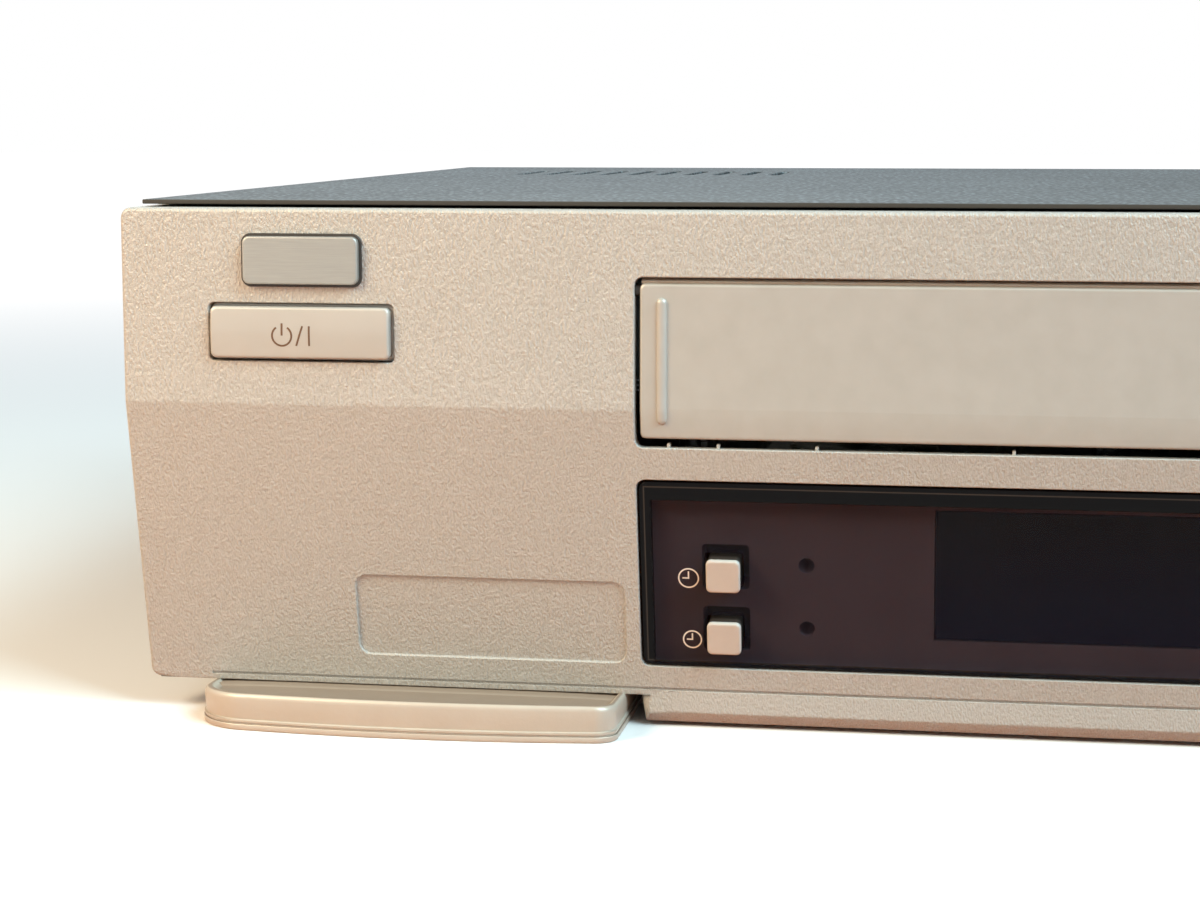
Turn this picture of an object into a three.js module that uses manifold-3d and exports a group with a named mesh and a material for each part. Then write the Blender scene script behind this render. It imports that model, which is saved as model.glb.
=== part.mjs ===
// A video cassette recorder of the full-width home kind, in millimetres, +Z up, front towards -Y.
// The deck is drawn with its front face at y = 0 and its feet on z = 0, and is centred at the end.
// The front panel stands upright down to a crease and leans back below it.
import * as THREE from 'three';
import { mergeVertices } from 'three/addons/utils/BufferGeometryUtils.js';
import Module from 'manifold-3d';

const wasm = await Module();
wasm.setup();

// Case
const bodyWidth = 400;
const spaceBehindDeck = 46;
const coverStep = 1.3;
const fit = 0.3;
const running = 0.5;
const overrun = 2;
const sheet = 0.8;
const plate = 1.2;
const board = 1.6;

// Front panel
const panelWall = 2.5;
const panelOverSlot = 11.5;
const panelFoot = 5.8;
const panelReturn = 16;
const panelCorner = 1.9;
const lowerTilt = 11.25 * Math.PI / 180;
const grooveHeight = 7.1;
const grooveWidth = 0.5;
const grooveDepth = 0.4;
const grooveFromSide = 12;
const skirtHalf = 106.2;
const skirtEdge = 2.9;
const skirtBottom = 0.9;
const skirtBevel = 1.5;
const skirtCorner = 4;
const outlineCorner = 1.4;

// Badge and label recess
const badgeFromSide = 22.9;
const badgeWidth = 20.9;
const badgeFromTop = 4.9;
const badgeHigh = 8.4;
const badgeThick = 1.2;
const badgeCorner = 1.2;
const labelFromSide = 40.5;
const labelWidth = 49.2;
const labelTop = 32.2;
const labelHigh = 15.4;
const labelDepth = 0.5;
const labelCorner = 2.1;

// Buttons
const buttonGap = 0.6;
const buttonFlange = 0.5;
const buttonFlangeThick = 1.2;
const buttonCorner = 0.9;
const barFromSide = 16.1;
const barWidth = 33.7;
const barFromTop = 16.7;
const barHigh = 10.3;
const barRise = 1.4;
const squareSize = 6;
const squareGap = 0.4;
const squareRise = 2;
const squareCorner = 0.7;
const squareFromEdge = 15.2;
const squareDrops = [29.5, 41.3];
const channelSize = 7.5;
const channelDrops = [19.6, 29.6];
const transportRise = 1.2;
const playWidth = 33.7;
const playHigh = 8.4;
const playDrop = 12.5;
const keyWidth = 13.4;
const keyHigh = 7.4;
const keyPitch = 17.2;
const keyDrop = 25.5;
const lowKeyHigh = 5.6;
const lowKeyDrop = 37.5;

// Cassette door
const slotHalf = 106.5;
const slotOverCrease = 23.1;
const slotUnderCrease = 6.6;
const doorSideGap = 0.4;
const doorTopGap = 1.1;
const doorBottomGap = 1.6;
const doorInset = 0.4;
const doorWall = 2;
const doorCorner = 1.3;
const ribFromSide = 2.4;
const ribWidth = 2;
const ribFromBottom = 2.5;
const ribFromTop = 2.4;
const ribRise = 0.7;
const hingeBack = 2;
const hingeFromTop = 1.2;
const hingePin = 1;
const hingePinLength = 2.6;
const hingeBore = 1.3;

// Display
const windowHalf = 107.6;
const windowTop = 12.7;
const windowHigh = 35.4;
const windowFromGroove = 4.3;
const windowInset = 0.3;
const windowThick = 2;
const windowCorner = 1.6;
const holderBack = 9;
const tubeHalf = 55.8;
const tubeTop = 17.9;
const tubeHigh = 24.4;
const tubeThick = 5;
const lampFromEdge = 29.5;
const lampDrops = [28.9, 40.9];
const lampRadius = 1.45;

// Boards
const frontBoardBack = 26;
const frontBoardFromSide = 12;
const frontBoardLow = 9;
const frontBoardUnderSlot = 3.9;
const switchSize = 6;
const switchThick = 4;
const boardLow = 12;
const postSize = 5;
const boardFromDeck = 7;
const boardFromSide = 8;
const boardFromBack = 8;
const mainBoardFront = 40;
const mainBoardStrip = 32;
const mainBoardPastScart = 42;
const powerBoardLong = 152;
const chipSize = 22;
const chipThick = 3;

// Base pan, rear panel and cover
const coverSideInset = 1.2;
const coverFront = 3;
const coverLow = 8;
const coverBend = 2;
const panBottom = 6;
const panFlange = 13;
const panTabWidth = 14;
const panTabFromSide = 50;
const rearPanelInset = 2.2;
const rearPanelThick = 1.5;
const ventCount = 10;
const ventPitch = 7;
const ventWidth = 2.6;
const ventLength = 34;
const ventFromSide = 34;
const ventFromBack = 46;
const screwHead = 4;
const screwShank = 1.5;
const screwLength = 6;
const screwHeight = 14;
const screwFromFront = 60;
const screwFromBack = 48;

// Feet
const footFromSide = 12;
const footFromSkirt = 4.2;
const footFront = 6;
const footBow = 3;
const footBack = 44;
const footOuterCorner = 11;
const footInnerCorner = 4;
const footRim = 6.9;
const footRimDrop = 0.3;
const footTopBack = 4.9;
const footGrooveHeight = 1.5;
const footGrooveDepth = 0.3;
const rearFootRadius = 9;
const rearFootFromSide = 35;
const rearFootFromBack = 22;

// Rear sockets
const socketStandOff = 6;
const scartWidth = 53;
const scartHigh = 17;
const scartBody = 26;
const scartReach = 3;
const scartMouth = 46;
const scartMouthHigh = 9.6;
const scartMouthDeep = 12;
const scartCorner = 3;
const scartPitch = 64;
const scartFromPhono = 60;
const tunerFromSide = 46;
const tunerWidth = 44;
const tunerDeep = 50;
const tunerHigh = 30;
const aerialSpacing = 20;
const aerialHeight = 30;
const aerialOuter = 4.8;
const aerialBore = 3.6;
const aerialDeep = 9;
const phonoFromTuner = 58;
const phonoWidth = 14;
const phonoHigh = 30;
const phonoDeep = 20;
const phonoOuter = 4.2;
const phonoBore = 1.7;
const phonoReach = 6;
const phonoSpacing = 14;
const inletFromSide = 42;
const inletWidth = 24;
const inletHigh = 17;
const inletDeep = 22;
const inletLobe = 4;
const inletSpacing = 8.6;
const inletMouthDeep = 13;
const inletPin = 1.2;
const inletPinLength = 9;

// Power supply
const transformerFromBack = 70;
const transformerCore = [36, 30, 26];
const transformerBobbin = [24, 38, 18];
const capacitorFromEdge = 16;
const capacitorFromBack = 112;
const capacitorRadius = 11;
const capacitorHigh = 32;
const heatSinkFromEdge = 12;
const heatSinkFromBack = 114;
const heatSinkWide = 14;
const heatSinkLong = 44;
const heatSinkHigh = 34;
const heatSinkFins = 5;
const heatSinkWall = 1.6;

// Tape deck
const deckBesideLift = 2.8;
const deckFront = 34;
const deckBehindDrum = 3;
const deckLevel = 24;
const deckLeg = 6;
const reelSpacing = 92.4;
const reelPlace = 92;
const reelFlange = 20;
const reelFlangeThick = 3;
const reelHub = 10;
const reelHubHigh = 7;
const reelSpindle = 6.5;
const reelSpindleHigh = 18;
const reelToDrum = 98;
const drumRadius = 31;
const drumLow = 5;
const lowerDrumHigh = 19;
const upperDrumHigh = 18;
const drumMotorRadius = 20;
const drumMotorHigh = 5;
const drumTilt = 5.8 * Math.PI / 180;
const drumBase = 48;
const capstanFromDrum = [64, -29];
const capstanRadius = 1.5;
const capstanTop = 57;
const bearingRadius = 4.5;
const bearingBore = 2;
const flywheelRadius = 22;
const flywheelLow = 11;
const flywheelThick = 4;
const beltHub = 9;
const beltHubHigh = 6;
const clutchRadius = 14;
const clutchShaft = 2;
const clutchGear = 9;
const clutchGearThick = 3;
const beltThick = 1.2;
const beltHigh = 3;
const pinchPivotFromDrum = [88, -14];
const pinchEngagedFromDrum = [70.5, -33.3];
const pinchSwing = 22 * Math.PI / 180;
const pinchBoss = 4;
const pinchBossHigh = 10;
const pinchArmWide = 7;
const pinchArmThick = 3;
const pinchArmLift = 5;
const rollerRadius = 6;
const rollerHigh = 17;
const rollerPin = 1.5;
const rollerBore = 1.9;
const poleStartFromDrum = [22, -55];
const poleEndFromDrum = [39, -15];
const poleBase = [12, 9, 3.5];
const poleRadius = 1.6;
const poleTop = 53;
const poleRoller = 3;
const poleRollerHigh = 16;
const poleSlotWide = 4;
const eraseHeadFromDrum = [-56, -28];
const audioHeadFromDrum = [53, -15];
const headSize = [9, 8, 18];
const headPost = 3;
const headLift = 6;
const camFromDrum = [-82, -10];
const camRadius = 15;
const camTooth = 1.6;
const camTeeth = 20;
const camThick = 4;
const camHub = 5;
const camHubHigh = 4;
const motorFromDrum = [-78, 20];
const motorRadius = 8;
const motorLong = 26;
const gearboxSize = [16, 20, 18];

// Cassette lift
const housingBack = 160;
const housingOverSlider = 1.8;
const housingSlot = 5;
const sliderBesideHolder = 2.6;
const sliderOverHolder = 2.6;
const sliderFront = 36;
const sliderDeep = 30;
const sliderUnderPin = 6;
const holderHalf = 95.5;
const holderFront = 34;
const holderDeep = 70;
const holderInside = 26.6;
const holderPinHeight = 13.6;
const holderLedge = 9.5;
const holderCut = 18;
const holderPin = 1.8;
const holderDrop = 20;
const carriageTravel = 50;

// Places worked out from the sizes above
const halfWidth = bodyWidth / 2;
const creaseHeight = grooveHeight + (windowTop + windowHigh + windowFromGroove) * Math.cos(lowerTilt);
const slotTop = creaseHeight + slotOverCrease;
const slotBottom = creaseHeight - slotUnderCrease;
const panelTop = slotTop + panelOverSlot;
const bodyHeight = panelTop + coverStep;
const drumPlace = reelPlace + reelToDrum;
const deckBack = drumPlace + drumRadius + deckBehindDrum;
const bodyDepth = deckBack + spaceBehindDeck;
const socketReach = bodyDepth + socketStandOff;
const rearPanelFront = bodyDepth - rearPanelInset - rearPanelThick;
const coverHalf = halfWidth - coverSideInset;
const coverInner = coverHalf - sheet;
const panHalf = coverInner - fit;
const panFront = panelReturn + fit;
const panFloor = panBottom + plate;
const boardTop = boardLow + board;
const onBoard = boardTop + fit;
const deckTop = deckLevel + plate;
const onDeck = deckTop + fit;
const footTop = panBottom - fit;
const holderLow = slotBottom - plate - fit;
const holderTop = holderLow + plate + holderInside;
const liftHeight = holderLow + holderPinHeight;
const sliderHalf = holderHalf + plate + sliderBesideHolder;
const sliderTop = holderTop + sliderOverHolder + 2 * plate;
const sliderLow = liftHeight - holderDrop - sliderUnderPin;
const pinPlace = sliderFront + sliderDeep / 2;
const housingHalf = sliderHalf + plate + running;
const housingTop = sliderTop + housingOverSlider;
const deckHalf = housingHalf + plate + deckBesideLift;
const tunerPlace = halfWidth - tunerFromSide;
const phonoPlace = tunerPlace - phonoFromTuner;
const scartPlaces = [phonoPlace - scartFromPhono - scartPitch, phonoPlace - scartFromPhono];
const inletPlace = inletFromSide - halfWidth;
const mainBoardInner = deckHalf + boardFromDeck;
const mainBoardOuter = halfWidth - boardFromSide;
const mainBoardBack = bodyDepth - boardFromBack;
const mainBoardLeft = mainBoardPastScart - scartPlaces[0];
const powerBoardFront = mainBoardBack - powerBoardLong;

const alongX = new THREE.Matrix4().makeBasis(
  new THREE.Vector3(0, 1, 0), new THREE.Vector3(0, 0, 1), new THREE.Vector3(1, 0, 0));
const alongY = new THREE.Matrix4().makeBasis(
  new THREE.Vector3(1, 0, 0), new THREE.Vector3(0, 0, 1), new THREE.Vector3(0, -1, 0));

const deck = new THREE.Group();
// Below the crease, local y runs into the panel and local z up its face.
const lowerFace = new THREE.Group();
lowerFace.position.z = creaseHeight;
lowerFace.rotation.x = lowerTilt;
lowerFace.updateMatrix();
deck.add(lowerFace);

// Outlines, as lists of points

function corner(centre, radius, start, turn, steps) {
  return Array.from({ length: steps + 1 }, (_, i) => {
    const angle = start + turn * i / steps;
    return [centre[0] + radius * Math.cos(angle), centre[1] + radius * Math.sin(angle)];
  });
}

function roundedBox([x0, x1], [y0, y1], radius, steps = 4) {
  const quarter = Math.PI / 2;
  return [
    ...corner([x1 - radius, y1 - radius], radius, 0, quarter, steps),
    ...corner([x0 + radius, y1 - radius], radius, quarter, quarter, steps),
    ...corner([x0 + radius, y0 + radius], radius, 2 * quarter, quarter, steps),
    ...corner([x1 - radius, y0 + radius], radius, 3 * quarter, quarter, steps),
  ];
}

function slotOutline(from, to, width, steps = 6) {
  const angle = Math.atan2(to[1] - from[1], to[0] - from[0]);
  return [
    ...corner(to, width / 2, angle - Math.PI / 2, Math.PI, steps),
    ...corner(from, width / 2, angle + Math.PI / 2, Math.PI, steps),
  ];
}

// The outline of a belt pulled round two pulleys.
function beltOutline(first, firstRadius, second, secondRadius, steps = 12) {
  const dx = second[0] - first[0];
  const dy = second[1] - first[1];
  const heading = Math.atan2(dy, dx);
  const lean = Math.acos((firstRadius - secondRadius) / Math.hypot(dx, dy));
  const wrap = Math.PI - lean;
  return [
    ...corner(second, secondRadius, heading - lean, 2 * lean, steps),
    ...corner(first, firstRadius, heading + lean, 2 * wrap, steps),
  ];
}

// Closed shapes

function extrude(points, length) {
  const shape = new THREE.Shape(points.map(([x, y]) => new THREE.Vector2(x, y)));
  return new THREE.ExtrudeGeometry(shape, { depth: length, bevelEnabled: false });
}

function prismX(points, [x0, x1]) {
  return extrude(points, x1 - x0).applyMatrix4(alongX).translate(x0, 0, 0);
}

function prismY(points, [y0, y1]) {
  return extrude(points, y1 - y0).applyMatrix4(alongY).translate(0, y1, 0);
}

function prismZ(points, [z0, z1]) {
  return extrude(points, z1 - z0).translate(0, 0, z0);
}

function block([x0, x1], [y0, y1], [z0, z1]) {
  const box = new THREE.BoxGeometry(x1 - x0, y1 - y0, z1 - z0);
  return box.translate((x0 + x1) / 2, (y0 + y1) / 2, (z0 + z1) / 2);
}

// A block by its middle on the floor plan, its size and its underside.
function standing([x, y], [wide, deep, high], low) {
  return block([x - wide / 2, x + wide / 2], [y - deep / 2, y + deep / 2], [low, low + high]);
}

function disc([x, y], radius, [z0, z1], sides = 24) {
  const round = new THREE.CylinderGeometry(radius, radius, z1 - z0, sides);
  return round.rotateX(Math.PI / 2).translate(x, y, (z0 + z1) / 2);
}

function rodX([y, z], radius, [x0, x1], sides = 16) {
  const round = new THREE.CylinderGeometry(radius, radius, x1 - x0, sides);
  return round.rotateZ(Math.PI / 2).translate((x0 + x1) / 2, y, z);
}

function rodY([x, z], radius, [y0, y1], sides = 16) {
  const round = new THREE.CylinderGeometry(radius, radius, y1 - y0, sides);
  return round.translate(x, (y0 + y1) / 2, z);
}

// Booleans

function solid(geometry) {
  const bare = geometry.clone();
  bare.deleteAttribute('normal');
  bare.deleteAttribute('uv');
  const merged = mergeVertices(bare);
  return new wasm.Manifold(new wasm.Mesh({
    numProp: 3,
    vertProperties: new Float32Array(merged.attributes.position.array),
    triVerts: new Uint32Array(merged.index.array),
  }));
}

function join(...shapes) {
  return shapes.map((s) => (s.isBufferGeometry ? solid(s) : s)).reduce((a, b) => a.add(b));
}

function cut(base, ...tools) {
  const start = base.isBufferGeometry ? solid(base) : base;
  return tools.reduce((a, tool) => a.subtract(tool.isBufferGeometry ? solid(tool) : tool), start);
}

function add(name, shape, material, parent = deck) {
  const mesh = join(shape).getMesh();
  const geometry = new THREE.BufferGeometry();
  geometry.setAttribute('position', new THREE.BufferAttribute(mesh.vertProperties, 3));
  geometry.setIndex(new THREE.BufferAttribute(mesh.triVerts, 1));
  geometry.computeVertexNormals();
  const node = new THREE.Mesh(geometry, material);
  node.name = name;
  parent.add(node);
  return node;
}

function finish(color, roughness, metalness) {
  return new THREE.MeshStandardMaterial({ color, roughness, metalness });
}

const champagne = () => finish('#c3b4a0', 0.5, 0.35);
const satin = () => finish('#cbbba8', 0.35, 0.4);
const coverPaint = () => finish('#4b504e', 0.45, 0.2);
const zinc = () => finish('#b9bcbf', 0.4, 0.8);
const steel = () => finish('#8f9396', 0.3, 0.9);
const blackPlastic = () => finish('#1b1b1d', 0.55, 0);
const whitePlastic = () => finish('#e4dfd3', 0.5, 0);
const circuit = () => finish('#8a6a3c', 0.6, 0);

// The panel's face at a height: upright above the crease, leaning back below it.
function faceAt(z) {
  return Math.max(0, creaseHeight - z) * Math.tan(lowerTilt);
}

const onLower = (geometry) => geometry.applyMatrix4(lowerFace.matrix);

// Front panel: one moulded shell with its returns, windows and skirt

// Every button stands in a rounded opening, given by its middle, its size and its place on a face.
const barMiddle = halfWidth - barFromSide - barWidth / 2;
const barHeight = panelTop - barFromTop - barHigh / 2;
const channelPlace = (slotHalf + barMiddle - barWidth / 2) / 2;
const upperButtons = [
  ['power_button', -barMiddle, barHeight, barWidth, barHigh],
  ['eject_button', barMiddle, barHeight, barWidth, barHigh],
  ['channel_up_button', channelPlace, panelTop - channelDrops[0], channelSize, channelSize],
  ['channel_down_button', channelPlace, panelTop - channelDrops[1], channelSize, channelSize],
];
const lowerButtons = [
  ['play_button', barMiddle, -playDrop, playWidth, playHigh],
  ['rewind_button', barMiddle - keyPitch, -keyDrop, keyWidth, keyHigh],
  ['stop_button', barMiddle, -keyDrop, keyWidth, keyHigh],
  ['fast_forward_button', barMiddle + keyPitch, -keyDrop, keyWidth, keyHigh],
  ['record_button', barMiddle - keyPitch, -lowKeyDrop, keyWidth, lowKeyHigh],
  ['pause_button', barMiddle, -lowKeyDrop, keyWidth, lowKeyHigh],
];

function buttonOutline(x, z, width, high, grow) {
  const reachX = width / 2 + grow;
  const reachZ = high / 2 + grow;
  return roundedBox([x - reachX, x + reachX], [z - reachZ, z + reachZ], buttonCorner, 3);
}

const wallCut = [-overrun, panelWall + overrun];
const skirtFace = faceAt(grooveHeight);
const panelBack = faceAt(panelFoot + panelWall) + panelWall;
const hingeHeight = slotTop - doorTopGap - hingeFromTop;

const shellOutline = [
  [0, panelTop], [0, creaseHeight], [faceAt(panelFoot), panelFoot], [panelReturn, panelFoot],
  [panelReturn, panelFoot + panelWall], [panelBack, panelFoot + panelWall],
  [panelWall, creaseHeight], [panelWall, panelTop - panelWall],
  [panelReturn, panelTop - panelWall], [panelReturn, panelTop],
];
const cheekOutline = [
  [0, panelTop], [0, creaseHeight], [faceAt(panelFoot), panelFoot], [panelReturn, panelFoot],
  [panelReturn, panelTop],
];
const skirtOutline = [
  [skirtFace, panelFoot + panelWall], [skirtFace, skirtEdge],
  [skirtFace + skirtBevel, skirtBottom], [panelReturn, skirtBottom],
  [panelReturn, panelFoot + panelWall],
];

const shell = join(
  prismX(shellOutline, [-halfWidth, halfWidth]),
  prismX(cheekOutline, [-halfWidth, panelWall - halfWidth]),
  prismX(cheekOutline, [halfWidth - panelWall, halfWidth]),
);
const frontOutline = prismY(
  roundedBox([-halfWidth, halfWidth], [panelFoot, panelTop], panelCorner, 5),
  [-overrun, panelReturn + overrun]);
const grooveHalf = halfWidth - grooveFromSide;
const labelLeft = labelFromSide - halfWidth;
const slotTool = prismY(
  roundedBox([-slotHalf, slotHalf], [slotBottom, slotTop], outlineCorner),
  [-overrun, panelBack + overrun]);
const windowOutline = (gap) => roundedBox(
  [gap - windowHalf, windowHalf - gap],
  [gap - windowTop - windowHigh, -windowTop - gap], windowCorner);

const skirtPlan = prismZ(
  roundedBox([-skirtHalf, skirtHalf], [skirtFace, panelReturn + skirtCorner], skirtCorner),
  [skirtBottom - overrun, panelFoot + panelWall]);
const skirt = solid(prismX(skirtOutline, [-skirtHalf, skirtHalf])).intersect(solid(skirtPlan));
add('front_panel', cut(
  join(shell.intersect(solid(frontOutline)), skirt),
  block([-grooveHalf, grooveHalf], [-overrun, skirtFace + grooveDepth],
    [grooveHeight - grooveWidth / 2, grooveHeight + grooveWidth / 2]),
  slotTool,
  rodX([hingeBack, hingeHeight], hingeBore,
    [-slotHalf - hingePinLength - fit, slotHalf + hingePinLength + fit], 12),
  ...upperButtons.map(([, x, z, w, h]) => prismY(buttonOutline(x, z, w, h, 0), wallCut)),
  ...lowerButtons.map(([, x, z, w, h]) => onLower(prismY(buttonOutline(x, z, w, h, 0), wallCut))),
  onLower(prismY(windowOutline(0), [-overrun, holderBack + overrun])),
  onLower(prismY(
    roundedBox([labelLeft, labelLeft + labelWidth], [-labelTop - labelHigh, -labelTop], labelCorner),
    [-overrun, labelDepth])),
), champagne());

const badgeLeft = badgeFromSide - halfWidth;
const badgeTop = panelTop - badgeFromTop;
add('badge_plate', prismY(
  roundedBox([badgeLeft, badgeLeft + badgeWidth], [badgeTop - badgeHigh, badgeTop], badgeCorner),
  [-badgeThick - fit, -fit]), zinc());

// A button's cap stands in its opening, with a flange behind the wall that keeps it in.
function button(x, z, width, high, rise) {
  const behind = panelWall + fit;
  return join(
    prismY(buttonOutline(x, z, width, high, -buttonGap), [-rise, behind + buttonFlangeThick]),
    prismY(buttonOutline(x, z, width, high, buttonFlange), [behind, behind + buttonFlangeThick]),
  );
}

for (const [name, x, z, width, high] of upperButtons) {
  add(name, button(x, z, width, high, barRise), satin());
}
for (const [name, x, z, width, high] of lowerButtons) {
  add(name, button(x, z, width, high, transportRise), satin(), lowerFace);
}

// Cassette door: follows the panel's crease and hangs on two pins at its top corners

const doorHalf = slotHalf - doorSideGap;
const doorTop = slotTop - doorTopGap;
const doorBottom = slotBottom + doorBottomGap;
const doorFace = (z) => doorInset + faceAt(z);
const ribLeft = ribFromSide - doorHalf;
const ribLow = doorBottom + ribFromBottom;
const ribHigh = doorTop - ribFromTop;
const doorProfile = [
  [doorInset, doorTop], [doorInset, creaseHeight], [doorFace(doorBottom), doorBottom],
  [doorFace(doorBottom) + doorWall, doorBottom], [doorInset + doorWall, creaseHeight],
  [doorInset + doorWall, doorTop],
];
const ribProfile = [
  [doorInset - ribRise, ribHigh], [doorInset - ribRise, creaseHeight],
  [doorFace(ribLow) - ribRise, ribLow], [doorFace(ribLow) + doorWall / 2, ribLow],
  [doorInset + doorWall / 2, creaseHeight], [doorInset + doorWall / 2, ribHigh],
];
const doorOutline = prismY(
  roundedBox([-doorHalf, doorHalf], [doorBottom, doorTop], doorCorner), [-overrun, panelWall + overrun]);
const doorPins = rodX([hingeBack, hingeHeight], hingePin,
  [-slotHalf - hingePinLength, slotHalf + hingePinLength], 12);
const pinsOnly = cut(doorPins, block(
  [overrun - doorHalf, doorHalf - overrun], [0, panelWall + overrun], [doorBottom, slotTop]));
add('cassette_door', join(
  solid(prismX(doorProfile, [-doorHalf, doorHalf])).intersect(solid(doorOutline)),
  prismX(ribProfile, [ribLeft, ribLeft + ribWidth]),
  pinsOnly,
), satin());

// Display: smoked window, its carrier, the display tube and the two timer buttons

const squarePlace = squareFromEdge - windowHalf;
const lampPlace = lampFromEdge - windowHalf;
const squareOutline = (drop, grow) => {
  const reach = squareSize / 2 + grow;
  return roundedBox(
    [squarePlace - reach, squarePlace + reach], [-drop - reach, reach - drop], squareCorner, 3);
};
const windowBack = windowInset + windowThick;
const carrierFront = windowBack + fit;
add('display_window', cut(
  prismY(windowOutline(fit), [windowInset, windowBack]),
  ...squareDrops.map((drop) => prismY(squareOutline(drop, squareGap), [0, windowBack + overrun])),
), blackPlastic(), lowerFace);

const tubeOpening = [[-tubeHalf, tubeHalf], [-tubeTop - tubeHigh, -tubeTop]];
add('display_carrier', cut(
  prismY(windowOutline(fit), [carrierFront, holderBack]),
  block(tubeOpening[0], [0, carrierFront + tubeThick + fit], tubeOpening[1]),
  ...squareDrops.map((drop) => prismY(
    squareOutline(drop, squareGap + buttonFlange + fit), [0, holderBack + overrun])),
  ...lampDrops.map((drop) => rodY([lampPlace, -drop], lampRadius, [0, holderBack + overrun])),
), blackPlastic(), lowerFace);
add('display_tube', block(
  [fit - tubeHalf, tubeHalf - fit], [carrierFront, carrierFront + tubeThick],
  [fit - tubeTop - tubeHigh, -tubeTop - fit]), finish('#0c1512', 0.1, 0), lowerFace);

['timer_button', 'second_timer_button'].forEach((name, i) => {
  add(name, join(
    prismY(squareOutline(squareDrops[i], 0), [-squareRise, holderBack]),
    prismY(squareOutline(squareDrops[i], squareGap + buttonFlange),
      [carrierFront, carrierFront + buttonFlangeThick]),
  ), whitePlastic(), lowerFace);
});

// Front board, with a switch behind every button of the right-hand group and the power button

const switchSpots = [...upperButtons.slice(0, 2), ...lowerButtons]
  .map(([, x]) => x)
  .filter((x, i, all) => all.indexOf(x) === i);
const frontBoardHigh = slotBottom - frontBoardUnderSlot;
add('front_board', join(
  block([frontBoardFromSide - halfWidth, halfWidth - frontBoardFromSide],
    [frontBoardBack - board, frontBoardBack], [frontBoardLow, frontBoardHigh]),
  ...switchSpots.map((x) => block(
    [x - switchSize / 2, x + switchSize / 2],
    [frontBoardBack - board - switchThick, frontBoardBack - board / 2],
    [frontBoardHigh - 2 * switchSize, frontBoardHigh - switchSize])),
), circuit());

// Base pan: floor, side flanges, tabs behind the front board and posts under the boards

const post = ([x, y]) => standing([x, y], [postSize, postSize, boardLow - panFloor - fit + plate / 2],
  panFloor - plate / 2);
const boardPosts = [
  [mainBoardInner + postSize, mainBoardFront + postSize],
  [mainBoardOuter - postSize, mainBoardFront + postSize],
  [mainBoardOuter - postSize, mainBoardBack - postSize],
  [-mainBoardLeft + postSize, mainBoardBack - postSize],
  [-mainBoardInner - postSize, powerBoardFront + postSize],
  [-mainBoardOuter + postSize, powerBoardFront + postSize],
  [-mainBoardInner - postSize, mainBoardBack - postSize],
  [-mainBoardOuter + postSize, mainBoardBack - postSize],
];
const panBack = rearPanelFront - fit;
const tabFront = frontBoardBack + fit;
const screwPlaces = [screwFromFront, bodyDepth - screwFromBack];
const screwHoles = [-1, 1].flatMap((side) => screwPlaces.map((y) => rodX([y, screwHeight],
  screwShank + fit, [Math.min(side * coverHalf, 0), Math.max(side * coverHalf, 0)]
    .map((x) => x + side * overrun), 12)));
add('base_pan', cut(join(
  block([-panHalf, panHalf], [panFront, panBack], [panBottom, panFloor]),
  block([-panHalf, plate - panHalf], [panFront, panBack], [panBottom, panFloor + panFlange]),
  block([panHalf - plate, panHalf], [panFront, panBack], [panBottom, panFloor + panFlange]),
  ...[-1, 0, 1].map((side) => side * (halfWidth - panTabFromSide)).map((x) => block(
    [x - panTabWidth / 2, x + panTabWidth / 2], [tabFront, tabFront + plate],
    [panBottom, panFloor + panFlange])),
  ...boardPosts.map(post),
), ...screwHoles), zinc());

// Top cover: one folded sheet, over the panel's top return and down both sides

const hood = (grow) => {
  const reach = coverHalf - grow;
  const top = bodyHeight - grow;
  const bend = coverBend - grow;
  return [
    ...corner([reach - bend, top - bend], bend, 0, Math.PI / 2, 4),
    ...corner([bend - reach, top - bend], bend, Math.PI / 2, Math.PI / 2, 4),
  ];
};
const coverOutline = [
  [coverHalf, coverLow], ...hood(0), [-coverHalf, coverLow], [sheet - coverHalf, coverLow],
  ...hood(sheet).reverse(), [coverHalf - sheet, coverLow],
];
const ventFirst = ventFromSide - halfWidth;
add('top_cover', cut(join(
  prismY(coverOutline, [panFront, bodyDepth]),
  block([coverBend - coverHalf, coverHalf - coverBend], [coverFront, panFront + overrun],
    [bodyHeight - sheet, bodyHeight]),
),
...Array.from({ length: ventCount }, (_, i) => prismZ(slotOutline(
  [ventFirst + i * ventPitch, bodyDepth - ventFromBack - ventLength],
  [ventFirst + i * ventPitch, bodyDepth - ventFromBack], ventWidth, 3),
[bodyHeight - overrun, bodyHeight + overrun])),
...screwHoles), coverPaint());

[-1, 1].forEach((side) => screwPlaces.forEach((y, i) => {
  const head = [coverHalf + fit / 2, halfWidth].map((x) => side * x).sort((a, b) => a - b);
  const shank = [coverHalf - screwLength, coverHalf + sheet].map((x) => side * x).sort((a, b) => a - b);
  add(`cover_screw_${side < 0 ? 'left' : 'right'}_${i ? 'rear' : 'front'}`, join(
    rodX([y, screwHeight], screwHead, head, 20),
    rodX([y, screwHeight], screwShank, shank, 12),
  ), steel());
}));

// Feet: two broad silver ones with a bowed front under the panel, two rubber ones at the back

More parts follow.
